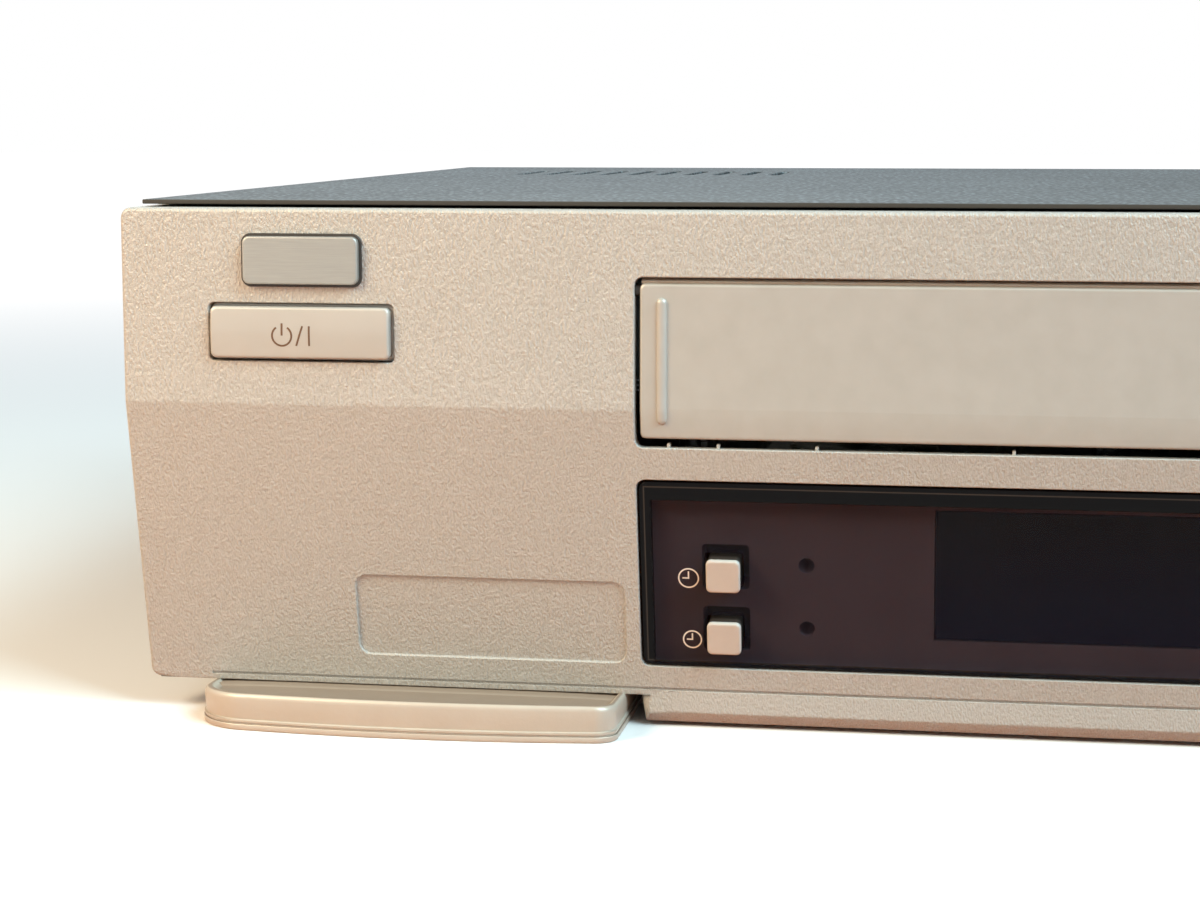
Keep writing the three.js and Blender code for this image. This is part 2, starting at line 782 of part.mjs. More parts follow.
function frontFoot(side) {
  const outerX = halfWidth - footFromSide;
  const innerX = skirtHalf + footFromSkirt;
  const middle = (outerX + innerX) / 2;
  const half = (outerX - innerX) / 2;
  const bowAt = (x) => -footFront + footBow * ((x - middle) / half) ** 2;
  const start = innerX + footInnerCorner;
  const end = outerX - footOuterCorner;
  const front = Array.from({ length: 9 }, (_, i) => {
    const x = start + (end - start) * i / 8;
    return [x, bowAt(x)];
  });
  const outline = [
    [innerX, footBack],
    ...corner([start, bowAt(start) + footInnerCorner], footInnerCorner, Math.PI, Math.PI / 2, 4)
      .slice(0, -1),
    ...front,
    ...corner([end, bowAt(end) + footOuterCorner], footOuterCorner, 1.5 * Math.PI, Math.PI / 2, 6).slice(1),
    [outerX, footBack],
  ].map(([x, y]) => [side * x, y]);
  const body = prismZ(outline, [0, footRim]);
  // The top slopes down towards the back and towards the inner end, as far as the panel.
  const topBack = panFront;
  const above = block([-outerX - overrun, outerX + overrun], [-footFront - overrun, topBack],
    [footRim, footRim + overrun]);
  const spot = above.attributes.position;
  for (let i = 0; i < spot.count; i += 1) {
    if (spot.getZ(i) < footRim + overrun / 2) {
      const inward = (outerX - side * spot.getX(i)) / (outerX - innerX);
      const backward = (spot.getY(i) + footFront) / (topBack + footFront);
      spot.setZ(i, footRim - footRimDrop * inward - (footRim - footTopBack) * backward);
    }
  }
  const behind = block([-outerX - overrun, outerX + overrun], [topBack - overrun / 2, footBack + overrun],
    [footTop, footRim + overrun]);
  const line = prismZ(outline, [footGrooveHeight, footGrooveHeight + grooveWidth]);
  const core = prismZ(outline.map(([x, y]) => [
    side * (middle + (side * x - middle) * (1 - footGrooveDepth / half)), y + footGrooveDepth]),
  [footGrooveHeight - grooveWidth, footGrooveHeight + 2 * grooveWidth]);
  return cut(body, above, behind, solid(line).subtract(solid(core)));
}
add('front_foot_left', frontFoot(-1), champagne());
add('front_foot_right', frontFoot(1), champagne());
[['rear_foot_left', -1], ['rear_foot_right', 1]].forEach(([name, side]) => {
  add(name, disc([side * (halfWidth - rearFootFromSide), bodyDepth - rearFootFromBack],
    rearFootRadius, [0, footTop], 24), finish('#202022', 0.9, 0));
});

// Rear panel and its sockets

const scartLow = onBoard;
const scartTop = scartLow + scartHigh;
const scartMiddle = scartLow + scartHigh / 2;
const scartFront = rearPanelFront + rearPanelThick + scartReach - scartBody;
const rearFace = rearPanelFront + rearPanelThick;
const rearCut = [rearPanelFront - overrun, rearFace + overrun];
const aerialSpots = [-1, 1].map((side) => [tunerPlace + side * aerialSpacing / 2, aerialHeight]);
const phonoSpots = [0, 1].map((i) => [phonoPlace, onBoard + phonoOuter + sheet + i * phonoSpacing]);
add('rear_panel', cut(
  prismY(roundedBox([-panHalf, panHalf], [panBottom, bodyHeight - sheet - fit], coverBend),
    [rearPanelFront, rearFace]),
  ...scartPlaces.map((x) => block(
    [x - scartWidth / 2 - fit, x + scartWidth / 2 + fit], rearCut, [scartLow - fit, scartTop + fit])),
  ...aerialSpots.map((spot) => rodY(spot, aerialOuter + fit, rearCut)),
  ...phonoSpots.map((spot) => rodY(spot, phonoOuter + fit, rearCut)),
  block([inletPlace - inletWidth / 2 - fit, inletPlace + inletWidth / 2 + fit], rearCut,
    [onBoard - fit, onBoard + inletHigh + fit]),
), zinc());

scartPlaces.forEach((x, i) => {
  const mouth = prismY(roundedBox([x - scartMouth / 2, x + scartMouth / 2],
    [scartMiddle - scartMouthHigh / 2, scartMiddle + scartMouthHigh / 2], scartCorner, 3),
  [scartFront + scartBody - scartMouthDeep, scartFront + scartBody + overrun]);
  add(`scart_socket_${i + 1}`, cut(
    block([x - scartWidth / 2, x + scartWidth / 2], [scartFront, scartFront + scartBody],
      [scartLow, scartTop]), mouth), blackPlastic());
});

add('tuner_module', cut(join(
  block([tunerPlace - tunerWidth / 2, tunerPlace + tunerWidth / 2],
    [rearPanelFront - fit - tunerDeep, rearPanelFront - fit], [onBoard, onBoard + tunerHigh]),
  ...aerialSpots.map((spot) => rodY(spot, aerialOuter, [rearPanelFront - running - plate, socketReach])),
), ...aerialSpots.map((spot) => rodY(spot, aerialBore, [socketReach - aerialDeep, socketReach + overrun]))),
zinc());

add('audio_sockets', cut(join(
  block([phonoPlace - phonoWidth / 2, phonoPlace + phonoWidth / 2],
    [rearPanelFront - fit - phonoDeep, rearPanelFront - fit], [onBoard, onBoard + phonoHigh]),
  ...phonoSpots.map((spot) => rodY(spot, phonoOuter,
    [rearPanelFront - running - plate, rearFace + phonoReach])),
), ...phonoSpots.map((spot) => rodY(spot, phonoBore,
  [rearFace - phonoReach, rearFace + phonoReach + overrun], 12))), zinc());

const inletBack = rearFace + fit;
const inletLobes = [-1, 1].map((side) => [inletPlace + side * inletSpacing / 2, onBoard + inletHigh / 2]);
add('mains_inlet', join(cut(
  block([inletPlace - inletWidth / 2, inletPlace + inletWidth / 2],
    [inletBack - inletDeep, inletBack], [onBoard, onBoard + inletHigh]),
  prismY(slotOutline(inletLobes[0], inletLobes[1], 2 * inletLobe),
    [inletBack - inletMouthDeep, inletBack + overrun])),
...inletLobes.map((spot) => rodY(spot, inletPin,
  [inletBack - inletMouthDeep - overrun, inletBack - inletMouthDeep + inletPinLength], 10)),
), blackPlastic());

// Main board and power supply

const stripFront = mainBoardBack - mainBoardStrip;
add('main_board', join(
  prismZ([
    [-mainBoardLeft, stripFront], [mainBoardInner, stripFront],
    [mainBoardInner, mainBoardFront], [mainBoardOuter, mainBoardFront],
    [mainBoardOuter, mainBoardBack], [-mainBoardLeft, mainBoardBack],
  ], [boardLow, boardTop]),
  ...[1, 2, 3].map((i) => standing(
    [(mainBoardInner + mainBoardOuter) / 2, mainBoardFront + 2 * i * chipSize],
    [chipSize, chipSize, chipThick + board], boardLow)),
), circuit());
add('power_board', block([-mainBoardOuter, -mainBoardInner], [powerBoardFront, mainBoardBack],
  [boardLow, boardTop]), circuit());
const transformerPlace = [-(mainBoardInner + mainBoardOuter) / 2, mainBoardBack - transformerFromBack];
const capacitorPlace = [capacitorFromEdge - mainBoardOuter, mainBoardBack - capacitorFromBack];
const heatSinkPlace = [-mainBoardInner - heatSinkFromEdge, mainBoardBack - heatSinkFromBack];
add('mains_transformer', join(
  standing(transformerPlace, transformerCore, onBoard),
  standing(transformerPlace, transformerBobbin, onBoard + (transformerCore[2] - transformerBobbin[2]) / 2),
), finish('#3a3330', 0.6, 0.2));
add('smoothing_capacitor', disc(capacitorPlace, capacitorRadius, [onBoard, onBoard + capacitorHigh]),
  finish('#22304a', 0.4, 0));
const finPitch = (heatSinkLong - heatSinkWall) / (heatSinkFins - 1);
add('heat_sink', join(
  standing(heatSinkPlace, [heatSinkWall, heatSinkLong, heatSinkHigh], onBoard),
  ...Array.from({ length: heatSinkFins }, (_, i) => standing(
    [heatSinkPlace[0], heatSinkPlace[1] - heatSinkLong / 2 + heatSinkWall / 2 + i * finPitch],
    [heatSinkWide, heatSinkWall, heatSinkHigh], onBoard)),
), finish('#a9adb0', 0.35, 0.9));

// Tape deck: chassis plate on four legs, with the capstan's bearing and the pole tracks

const legSpots = [-1, 1].flatMap((side) => [deckFront + deckLeg / 2, deckBack - deckLeg / 2]
  .map((y) => [side * (deckHalf - deckLeg / 2), y]));
const mirrored = ([x, y], side) => [side * x, y];
const fromDrum = ([x, y]) => [x, drumPlace + y];
const clutchPlace = [0, reelPlace];
const capstanPlace = fromDrum(capstanFromDrum);
const poleStart = fromDrum(poleStartFromDrum);
const poleEnd = fromDrum(poleEndFromDrum);
const bearingTop = onDeck + pinchArmLift - running;
add('deck_chassis', cut(join(
  block([-deckHalf, deckHalf], [deckFront, deckBack], [deckLevel, deckTop]),
  ...legSpots.map((spot) => standing(spot, [deckLeg, deckLeg, deckTop - panFloor - fit], panFloor + fit)),
  disc(capstanPlace, bearingRadius, [deckLevel, bearingTop]),
),
disc(capstanPlace, bearingBore, [deckLevel - overrun, bearingTop + overrun], 16),
disc(clutchPlace, clutchShaft + running, [deckLevel - overrun, deckTop + overrun], 16),
...[-1, 1].map((side) => prismZ(
  slotOutline(mirrored(poleStart, side), mirrored(poleEnd, side), poleSlotWide),
  [deckLevel - overrun, deckTop + overrun])),
), zinc());

// Reels, drum, capstan and belt

[['supply_reel', -1], ['take_up_reel', 1]].forEach(([name, side]) => {
  const spot = [side * reelSpacing / 2, reelPlace];
  add(name, join(
    disc(spot, reelFlange, [onDeck, onDeck + reelFlangeThick], 36),
    disc(spot, reelHub, [onDeck, onDeck + reelHubHigh]),
    disc(spot, reelSpindle, [onDeck, onDeck + reelSpindleHigh], 6),
  ), whitePlastic());
});

const drumAxis = new THREE.Group();
drumAxis.position.set(0, drumPlace, deckTop + drumLow);
drumAxis.rotation.y = drumTilt;
drumAxis.updateMatrix();
deck.add(drumAxis);
add('lower_drum', join(
  disc([0, 0], drumRadius, [0, lowerDrumHigh], 48).applyMatrix4(drumAxis.matrix),
  standing([0, drumPlace], [drumBase, drumBase, 2 * drumLow], onDeck),
), zinc());
const upperDrumLow = lowerDrumHigh + running;
add('upper_drum', join(
  disc([0, 0], drumRadius, [upperDrumLow, upperDrumLow + upperDrumHigh], 48),
  disc([0, 0], drumMotorRadius, [upperDrumLow, upperDrumLow + upperDrumHigh + drumMotorHigh], 32),
), steel(), drumAxis);

const hubLow = flywheelLow + flywheelThick;
const beltLow = hubLow + (beltHubHigh - beltHigh) / 2;
add('capstan', join(
  disc(capstanPlace, capstanRadius, [flywheelLow, capstanTop], 12),
  disc(capstanPlace, flywheelRadius, [flywheelLow, hubLow], 36),
  disc(capstanPlace, beltHub, [flywheelLow, hubLow + beltHubHigh]),
), steel());
add('clutch_pulley', join(
  disc(clutchPlace, clutchRadius, [hubLow, hubLow + beltHubHigh], 32),
  disc(clutchPlace, clutchShaft, [hubLow, onDeck + clutchGearThick], 12),
  disc(clutchPlace, clutchGear, [onDeck, onDeck + clutchGearThick]),
), whitePlastic());
const belt = (grow) => prismZ(beltOutline(
  capstanPlace, beltHub + fit + grow, clutchPlace, clutchRadius + fit + grow),
[beltLow - (grow ? 0 : overrun), beltLow + beltHigh + (grow ? 0 : overrun)]);
add('drive_belt', cut(belt(beltThick), belt(0)), finish('#161616', 0.9, 0));

// Pinch roller on its arm, drawn swung away from the capstan

const pinchPivot = fromDrum(pinchPivotFromDrum);
const pinchEngaged = fromDrum(pinchEngagedFromDrum);
const fromPivot = new THREE.Vector2(pinchEngaged[0] - pinchPivot[0], pinchEngaged[1] - pinchPivot[1])
  .rotateAround(new THREE.Vector2(0, 0), pinchSwing);
const rollerPlace = [pinchPivot[0] + fromPivot.x, pinchPivot[1] + fromPivot.y];
const armLow = onDeck + pinchArmLift;
const rollerLow = armLow + pinchArmThick + running;
add('pinch_arm', join(
  disc(pinchPivot, pinchBoss, [onDeck, onDeck + pinchBossHigh]),
  prismZ(slotOutline(pinchPivot, rollerPlace, pinchArmWide), [armLow, armLow + pinchArmThick]),
  disc(rollerPlace, rollerPin, [armLow, rollerLow + rollerHigh + running], 12),
), steel());
add('pinch_roller', cut(
  disc(rollerPlace, rollerRadius, [rollerLow, rollerLow + rollerHigh]),
  disc(rollerPlace, rollerBore, [rollerLow - overrun, rollerLow + rollerHigh + overrun], 12),
), finish('#1d1d1f', 0.8, 0));

// Tape guide poles, the two fixed heads and the loading drive

[['supply_guide_pole', -1], ['take_up_guide_pole', 1]].forEach(([name, side]) => {
  const spot = mirrored(poleStart, side);
  const rollerStart = poleTop - poleRollerHigh - plate;
  add(name, join(
    standing(spot, poleBase, onDeck),
    disc(spot, poleRadius, [onDeck, poleTop], 12),
    disc(spot, poleRoller, [rollerStart, rollerStart + poleRollerHigh], 16),
  ), steel());
});

const fixedHeads = [['full_erase_head', eraseHeadFromDrum], ['audio_control_head', audioHeadFromDrum]];
fixedHeads.forEach(([name, place]) => {
  const spot = fromDrum(place);
  add(name, join(
    standing(spot, [headSize[0], headSize[1], plate], onDeck),
    standing(spot, [headPost, headPost, headLift + plate], onDeck),
    standing(spot, headSize, onDeck + headLift),
  ), zinc());
});

const camPlace = fromDrum(camFromDrum);
const camOutline = Array.from({ length: camTeeth * 4 }, (_, i) => {
  const radius = i % 4 < 2 ? camRadius : camRadius - camTooth;
  const angle = 2 * Math.PI * i / (camTeeth * 4);
  return [camPlace[0] + radius * Math.cos(angle), camPlace[1] + radius * Math.sin(angle)];
});
add('cam_gear', join(
  prismZ(camOutline, [onDeck, onDeck + camThick]),
  disc(camPlace, camHub, [onDeck, onDeck + camThick + camHubHigh], 16),
), whitePlastic());

const motorPlace = fromDrum(motorFromDrum);
const motorHeight = onDeck + gearboxSize[2] / 2;
add('loading_motor', join(
  standing(motorPlace, gearboxSize, onDeck),
  rodX([motorPlace[1], motorHeight], motorRadius,
    [motorPlace[0] + gearboxSize[0] / 2 - plate, motorPlace[0] + gearboxSize[0] / 2 + motorLong], 20),
), finish('#6c6f72', 0.4, 0.7));

// Cassette lift: two fixed side plates, the slider between them and the holder it carries

[['lift_plate_left', -1], ['lift_plate_right', 1]].forEach(([name, side]) => {
  const wall = [housingHalf, housingHalf + plate].map((x) => side * x).sort((a, b) => a - b);
  const through = [housingHalf - overrun, housingHalf + plate + overrun]
    .map((x) => side * x).sort((a, b) => a - b);
  const slotLow = liftHeight - holderDrop - housingSlot / 2;
  const slotEnd = pinPlace + carriageTravel + housingSlot / 2;
  add(name, cut(
    block(wall, [deckFront, housingBack], [onDeck, housingTop]),
    block(through, [pinPlace - housingSlot / 2, slotEnd],
      [liftHeight - housingSlot / 2, liftHeight + housingSlot / 2]),
    block(through, [slotEnd - housingSlot, slotEnd], [slotLow, liftHeight + housingSlot / 2]),
  ), zinc());
});

const sliderEnd = sliderFront + sliderDeep;
add('carriage_slider', cut(join(
  block([-sliderHalf - plate, sliderHalf + plate], [sliderFront, sliderEnd],
    [sliderTop - plate, sliderTop]),
  ...[-1, 1].map((side) => {
    const wall = [sliderHalf, sliderHalf + plate].map((x) => side * x).sort((a, b) => a - b);
    return block(wall, [sliderFront, sliderEnd], [sliderLow, sliderTop]);
  }),
),
block([-sliderHalf - overrun, sliderHalf + overrun],
  [pinPlace - holderPin - running, pinPlace + holderPin + running],
  [liftHeight - holderDrop - holderPin - running, liftHeight + holderPin + running]),
), steel());

const holderOuter = holderHalf + plate;
const holderEnd = holderFront + holderDeep;
add('cassette_holder', cut(join(
  block([-holderOuter, holderOuter], [holderFront, holderEnd], [holderTop, holderTop + plate]),
  ...[-1, 1].flatMap((side) => {
    const wall = [holderHalf, holderOuter].map((x) => side * x).sort((a, b) => a - b);
    const ledge = [holderOuter - holderLedge, holderOuter].map((x) => side * x).sort((a, b) => a - b);
    const pin = [holderOuter - plate / 2, sliderHalf + plate - fit].map((x) => side * x)
      .sort((a, b) => a - b);
    return [
      block(wall, [holderFront, holderEnd], [holderLow, holderTop + plate]),
      block(ledge, [holderFront, holderEnd], [holderLow, holderLow + plate]),
      rodX([pinPlace, liftHeight], holderPin, pin, 12),
    ];
  }),
),
block([holderCut - holderHalf, holderHalf - holderCut], [holderFront + holderCut, holderEnd - holderCut],
  [holderTop - overrun, holderTop + overrun]),
), zinc());

// The part's origin is the middle of its footprint, on the floor.
const recorder = new THREE.Group();
deck.position.y = (footFront - socketReach) / 2;
recorder.add(deck);

export default recorder;
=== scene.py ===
# A full-width home video cassette recorder in champagne plastic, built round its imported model.
# Metres, +Z up, front towards -Y, feet on z = 0.
import math

import bmesh
import bpy
import numpy as np
from mathutils import Matrix, Vector


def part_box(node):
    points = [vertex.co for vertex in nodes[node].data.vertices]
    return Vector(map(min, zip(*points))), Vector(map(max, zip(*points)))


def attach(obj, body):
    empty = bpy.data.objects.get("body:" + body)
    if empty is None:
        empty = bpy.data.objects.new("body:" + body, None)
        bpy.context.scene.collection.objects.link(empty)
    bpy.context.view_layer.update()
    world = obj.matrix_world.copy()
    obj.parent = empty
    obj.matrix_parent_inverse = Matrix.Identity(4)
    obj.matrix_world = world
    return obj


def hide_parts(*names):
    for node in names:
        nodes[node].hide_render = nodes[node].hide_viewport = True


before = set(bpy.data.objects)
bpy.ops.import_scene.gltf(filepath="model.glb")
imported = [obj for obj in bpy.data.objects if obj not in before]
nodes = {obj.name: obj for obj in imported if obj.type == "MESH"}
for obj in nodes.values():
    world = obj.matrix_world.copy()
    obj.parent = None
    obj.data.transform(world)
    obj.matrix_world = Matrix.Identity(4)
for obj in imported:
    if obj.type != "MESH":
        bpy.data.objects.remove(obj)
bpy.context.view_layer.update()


# Camera: at the left of the front and a little above it, as the photograph was taken. It cuts the
# recorder off at the right.
def placed(name, data):
    """A new object in the scene."""
    made = bpy.data.objects.new(name, data)
    bpy.context.scene.collection.objects.link(made)
    return made


EYE = (-0.04105, -0.5600, 0.10968)
SIDEWAYS, UPWARDS, BACKWARDS = (
    (0.98579, 0.16797, -0.00078), (-0.02169, 0.13192, 0.99102), (0.16656, -0.97693, 0.13369))
eye_data = bpy.data.cameras.new("camera")
eye_data.sensor_width = 36
eye_data.lens = 75.09
eye_data.clip_start = 0.01
camera = placed("camera", eye_data)
camera.matrix_world = Matrix.Translation(EYE) @ Matrix((SIDEWAYS, UPWARDS, BACKWARDS)).transposed().to_4x4()
bpy.context.scene.camera = camera
bpy.context.scene.view_settings.view_transform = "Standard"


# Light and floor: a small warm lamp low at the left, a wide cool one high at the right and a weak one
# behind, in a dim even room that is seen as white. The floor is pale paper, white further out, and it
# throws a warm glow up at the recorder.
def srgb(red, green, blue):
    """A colour given as 0 to 255 on screen, as the linear values that the shader takes."""
    share = np.array([red, green, blue]) / 255
    linear = np.where(share <= 0.04045, share / 12.92, ((share + 0.055) / 1.055) ** 2.4)
    return (*linear.tolist(), 1.0)


class Value:
    """One output of a node. Arithmetic on it adds Math nodes, so a pattern reads as an expression."""

    def __init__(self, owner, socket):
        self.owner, self.socket = owner, socket

    def __add__(self, other):
        return self.owner.maths("ADD", self, other)

    def __sub__(self, other):
        return self.owner.maths("SUBTRACT", self, other)

    def __rsub__(self, other):
        return self.owner.maths("SUBTRACT", other, self)

    def __mul__(self, other):
        return self.owner.maths("MULTIPLY", self, other)

    def __abs__(self):
        return self.owner.maths("ABSOLUTE", self)

    __radd__, __rmul__ = __add__, __mul__

    def rise(self, low, high):
        """0 below low and 1 above high, straight between them; falls instead where low is the larger."""
        return self.owner.node("ShaderNodeMapRange", {}, {"Value": self, "From Min": low, "From Max": high})


class Tree:
    """A node tree in the making: node() adds any node, and fill() sets its sockets or links them."""

    def __init__(self, tree):
        self.tree = tree

    def node(self, kind, settings=None, sockets=None, output=0):
        made = self.tree.nodes.new(kind)
        for name, setting in (settings or {}).items():
            setattr(made, name, setting)
        self.fill(made, sockets or {})
        return Value(self, made.outputs[output])

    def fill(self, made, sockets):
        for name, value in sockets.items():
            if isinstance(value, Value):
                self.tree.links.new(value.socket, made.inputs[name])
            else:
                made.inputs[name].default_value = value

    def maths(self, operation, first, second=0.0):
        return self.node("ShaderNodeMath", {"operation": operation}, {0: first, 1: second})

    def in_sight(self):
        """1 for what is seen, straight, in a reflection or through glass, and 0 for what only lights."""
        seen, mirrored, through = (
            self.node("ShaderNodeLightPath", output=f"Is {ray} Ray")
            for ray in ("Camera", "Glossy", "Transmission"))
        return self.maths("MAXIMUM", seen, self.maths("MAXIMUM", mirrored, through))


class Finish(Tree):
    """A material in the making: put() fills the sockets of its Principled shader."""

    def __init__(self, name):
        self.material = bpy.data.materials.new(name)
        self.material.use_nodes = True
        super().__init__(self.material.node_tree)
        self.place = self.node("ShaderNodeTexCoord", output="Object")

    def along(self, axis):
        """How far a point lies along an axis, in metres."""
        return self.node("ShaderNodeSeparateXYZ", {}, {"Vector": self.place}, axis)

    def noise(self, size, detail=2.0, stretch=(1, 1, 1)):
        """Soft blotches about size across, 0 to 1 about a half, drawn out where stretch is small."""
        place = self.node("ShaderNodeMapping", {}, {"Vector": self.place, "Scale": stretch})
        return self.node("ShaderNodeTexNoise", {}, {"Vector": place, "Scale": 1 / size, "Detail": detail})

    def cells(self, size, output="Distance"):
        """Cells about size across, as the distance from each one's middle or a colour for each."""
        return self.node("ShaderNodeTexVoronoi", {}, {"Vector": self.place, "Scale": 1 / size}, output)

    def blend(self, share, first, second):
        return self.node("ShaderNodeMix", {"data_type": "RGBA"}, {0: share, 6: first, 7: second}, 2)

    def bump(self, height, depth):
        """The surface raised by height, from 0 to 1, times depth in metres."""
        return self.node("ShaderNodeBump", {}, {"Height": height, "Distance": depth, "Strength": 1.0})

    def put(self, sockets):
        self.fill(self.tree.nodes["Principled BSDF"], sockets)


ROOM_LIGHT = 0.2
WHITE, BLACK = (1.0, 1.0, 1.0, 1.0), (0.0, 0.0, 0.0, 1.0)
world = bpy.data.worlds.new("room")
world.use_nodes = True
bpy.context.scene.world = world
room = Tree(world.node_tree)
brightness = room.node("ShaderNodeMapRange", {}, {"Value": room.in_sight(), "To Min": ROOM_LIGHT})
room.fill(world.node_tree.nodes["Background"], {"Color": WHITE, "Strength": brightness})


def lamp(name, place, target, size, power, colour):
    """A square area lamp at a place, turned to face its target."""
    data = bpy.data.lights.new(name, "AREA")
    data.size = size
    data.energy = power
    data.color = colour
    heading = (Vector(target) - Vector(place)).to_track_quat("-Z", "Y")
    placed(name, data).matrix_world = Matrix.Translation(place) @ heading.to_matrix().to_4x4()


lamp("evening light", (-0.5, -0.43, 0.36), (-0.19, -0.135, 0.05), 0.25, 3.4, (1.0, 0.78, 0.5))
lamp("window light", (0.95, -0.7, 1.15), (0.1, -0.1, 0.05), 1.0, 37, (0.64, 0.91, 1.0))
lamp("light from behind", (-0.5, 1.5, 1.0), (0, 0, 0.05), 1.0, 6, (0.72, 0.87, 1.0))

floor_size, paper_end, white_start = 6.0, 0.35, 1.1
paper = Finish("pale floor")
in_sight = paper.in_sight()
far = paper.node("ShaderNodeVectorMath", {"operation": "LENGTH"}, {0: paper.place}, "Value").rise(
    paper_end, white_start)
paper.put({
    "Base Color": paper.blend(
        in_sight, srgb(190, 100, 34), paper.blend(far, srgb(244, 244, 244), BLACK)),
    "Emission Color": paper.blend(in_sight * far, BLACK, WHITE),
    "Emission Strength": 1.0, "Roughness": 0.9, "Specular IOR Level": 0.1})
floor_mesh = bpy.data.meshes.new("floor")
square = [(x * floor_size, y * floor_size, 0) for x, y in ((-1, -1), (1, -1), (1, 1), (-1, 1))]
floor_mesh.from_pydata(square, [], [(0, 1, 2, 3)])
floor_mesh.materials.append(paper.material)
floor = placed("floor", floor_mesh)


# Front panel: one injection moulding in champagne metallic plastic, upright down to a crease and
# leaning back below it, with a fine leather grain on the upper and lower faces and soft outer edges.
MM = 0.001
LEAN = math.radians(11.25)
CASE = "case"


def read(items, field, width=3, kind=float):
    """A field of a mesh's points, edges, faces or corners as an array, with width values to a row."""
    values = np.empty(len(items) * width, kind)
    items.foreach_get(field, values)
    return values.reshape(-1, width)


def corners(node):
    """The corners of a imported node, as an array of points."""
    return read(nodes[node].data.vertices, "co")


def settle(made, finish, slot, *replaced, body=CASE):
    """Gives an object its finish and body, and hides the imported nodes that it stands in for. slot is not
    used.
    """
    made.data.materials.clear()
    made.data.materials.append(finish.material)
    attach(made, body)
    if replaced:
        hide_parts(*replaced)


def copied(name, node, mend=None, moved=None):
    """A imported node's mesh, with its points moved and merged and a mend done on it."""
    mesh = nodes[node].data.copy()
    mesh.name = name
    if moved:
        mesh.vertices.foreach_set("co", moved(corners(node)).ravel())
    tidy = bmesh.new()
    tidy.from_mesh(mesh)
    bmesh.ops.remove_doubles(tidy, verts=tidy.verts, dist=1e-6)
    if mend:
        mend(tidy)
    tidy.to_mesh(mesh)
    tidy.free()
    mesh.shade_smooth()
    return mesh


def flat_faced(made, keep_sharp=False):
    """Shading led by an object's large faces, so that they stay flat."""
    shading = made.modifiers.new("flat faces stay flat", "WEIGHTED_NORMAL")
    shading.weight = 100
    shading.keep_sharp = keep_sharp


def eased(name, node, finish, slot, width_at, cuts, segments=3, moved=None, least_turn=5):
    """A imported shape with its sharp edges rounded: width_at takes their middles and gives the roundings.
    cuts are planes, each an axis and a place on it, that part the flat faces through their openings, so
    that none has a hole once its triangles are joined up."""
    def joined_up(tidy):
        for axis, place in cuts:
            along = np.eye(3)[axis]
            parted = bmesh.ops.bisect_plane(
                tidy, geom=[*tidy.verts, *tidy.edges, *tidy.faces], plane_co=along * place,
                plane_no=along, dist=1e-7)
            for made in parted["geom_cut"]:
                if isinstance(made, bmesh.types.BMEdge):
                    made.seam = True
        bmesh.ops.dissolve_limit(
            tidy, angle_limit=math.radians(0.5), verts=tidy.verts, edges=tidy.edges, delimit={"SEAM"})

    mesh = copied(name, node, joined_up, moved)
    middles = read(mesh.vertices, "co")[read(mesh.edges, "vertices", 2, int)].mean(1)
    sides = read(mesh.polygons, "loop_total", 1, int).ravel()
    loop_facing = np.repeat(read(mesh.polygons, "normal"), sides, axis=0)
    pairs = np.argsort(read(mesh.loops, "edge_index", 1, int).ravel(), kind="stable").reshape(-1, 2)
    across = (loop_facing[pairs[:, 0]] * loop_facing[pairs[:, 1]]).sum(1)
    turn = np.degrees(np.arccos(np.clip(across, -1, 1)))
    width = np.where(turn > least_turn, width_at(middles), 0)
    weight = mesh.attributes.new("bevel_weight_edge", "FLOAT", "EDGE")
    weight.data.foreach_set("value", width / width.max())
    made = placed(name, mesh)
    rounding = made.modifiers.new("rounding", "BEVEL")
    rounding.limit_method = "WEIGHT"
    rounding.width = width.max()
    rounding.segments = segments
    rounding.use_clamp_overlap = False
    flat_faced(made)
    settle(made, finish, slot, node)


def middle_of(node):
    """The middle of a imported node's box."""
    low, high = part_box(node)
    return [(least + most) / 2 for least, most in zip(low, high)]


panel_points = corners("front_panel")
FACE = panel_points[:, 1].min()
CREASE = panel_points[panel_points[:, 1] < FACE + 0.01 * MM, 2].min()
PANEL_HALF = panel_points[:, 0].max()
PANEL_TOP = panel_points[:, 2].max()
panel_foot, groove_height = 5.8 * MM, 7.1 * MM
window_low, window_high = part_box("display_window")

champagne = Finish("champagne plastic")
pebbles = champagne.noise(0.4 * MM, 1, (1.3, 1, 0.65))
fine = champagne.noise(0.3 * MM)
glint = champagne.cells(0.4 * MM).rise(0.16, 0.0)
cloud = champagne.noise(42 * MM, 3)
tone = ((pebbles - 0.5) * 1.5 + cloud * 0.35 + 0.32).rise(0, 1)
champagne.put({
    "Base Color": champagne.blend(
        glint * 0.3, champagne.blend(tone, srgb(172, 170, 164), srgb(200, 198, 193)), srgb(230, 229, 225)),
    "Metallic": 0.2, "Roughness": 0.46 - glint * 0.12 + (fine - 0.5) * 0.2, "Specular IOR Level": 0.4,
    "Normal": champagne.bump(pebbles * 0.85 + fine * 0.15, 0.27 * MM)})


def panel_edges(middle):
    """Wide on the outer edge of the face, next to nothing in the groove and behind the rim, soft round
    the openings and crisp along the foot of the window's."""
    x, y, z = middle.T
    at_front = y < FACE + np.maximum(CREASE - z, 0) * math.tan(LEAN) + 0.1 * MM
    side = np.abs(x) > PANEL_HALF - 2.5 * MM
    rim = side | (z > PANEL_TOP - 2 * MM)
    foot = z < panel_foot + 0.2 * MM
    groove = (np.abs(z - groove_height) < 0.6 * MM) & ~side
    sill = (np.abs(x) < window_high.x + 1 * MM) & (np.abs(z - window_low.z) < 1 * MM)
    return MM * np.select([groove, ~at_front, rim, foot, sill], [0.06, 0.05, 0.8, 0.2, 0.1], 0.25)


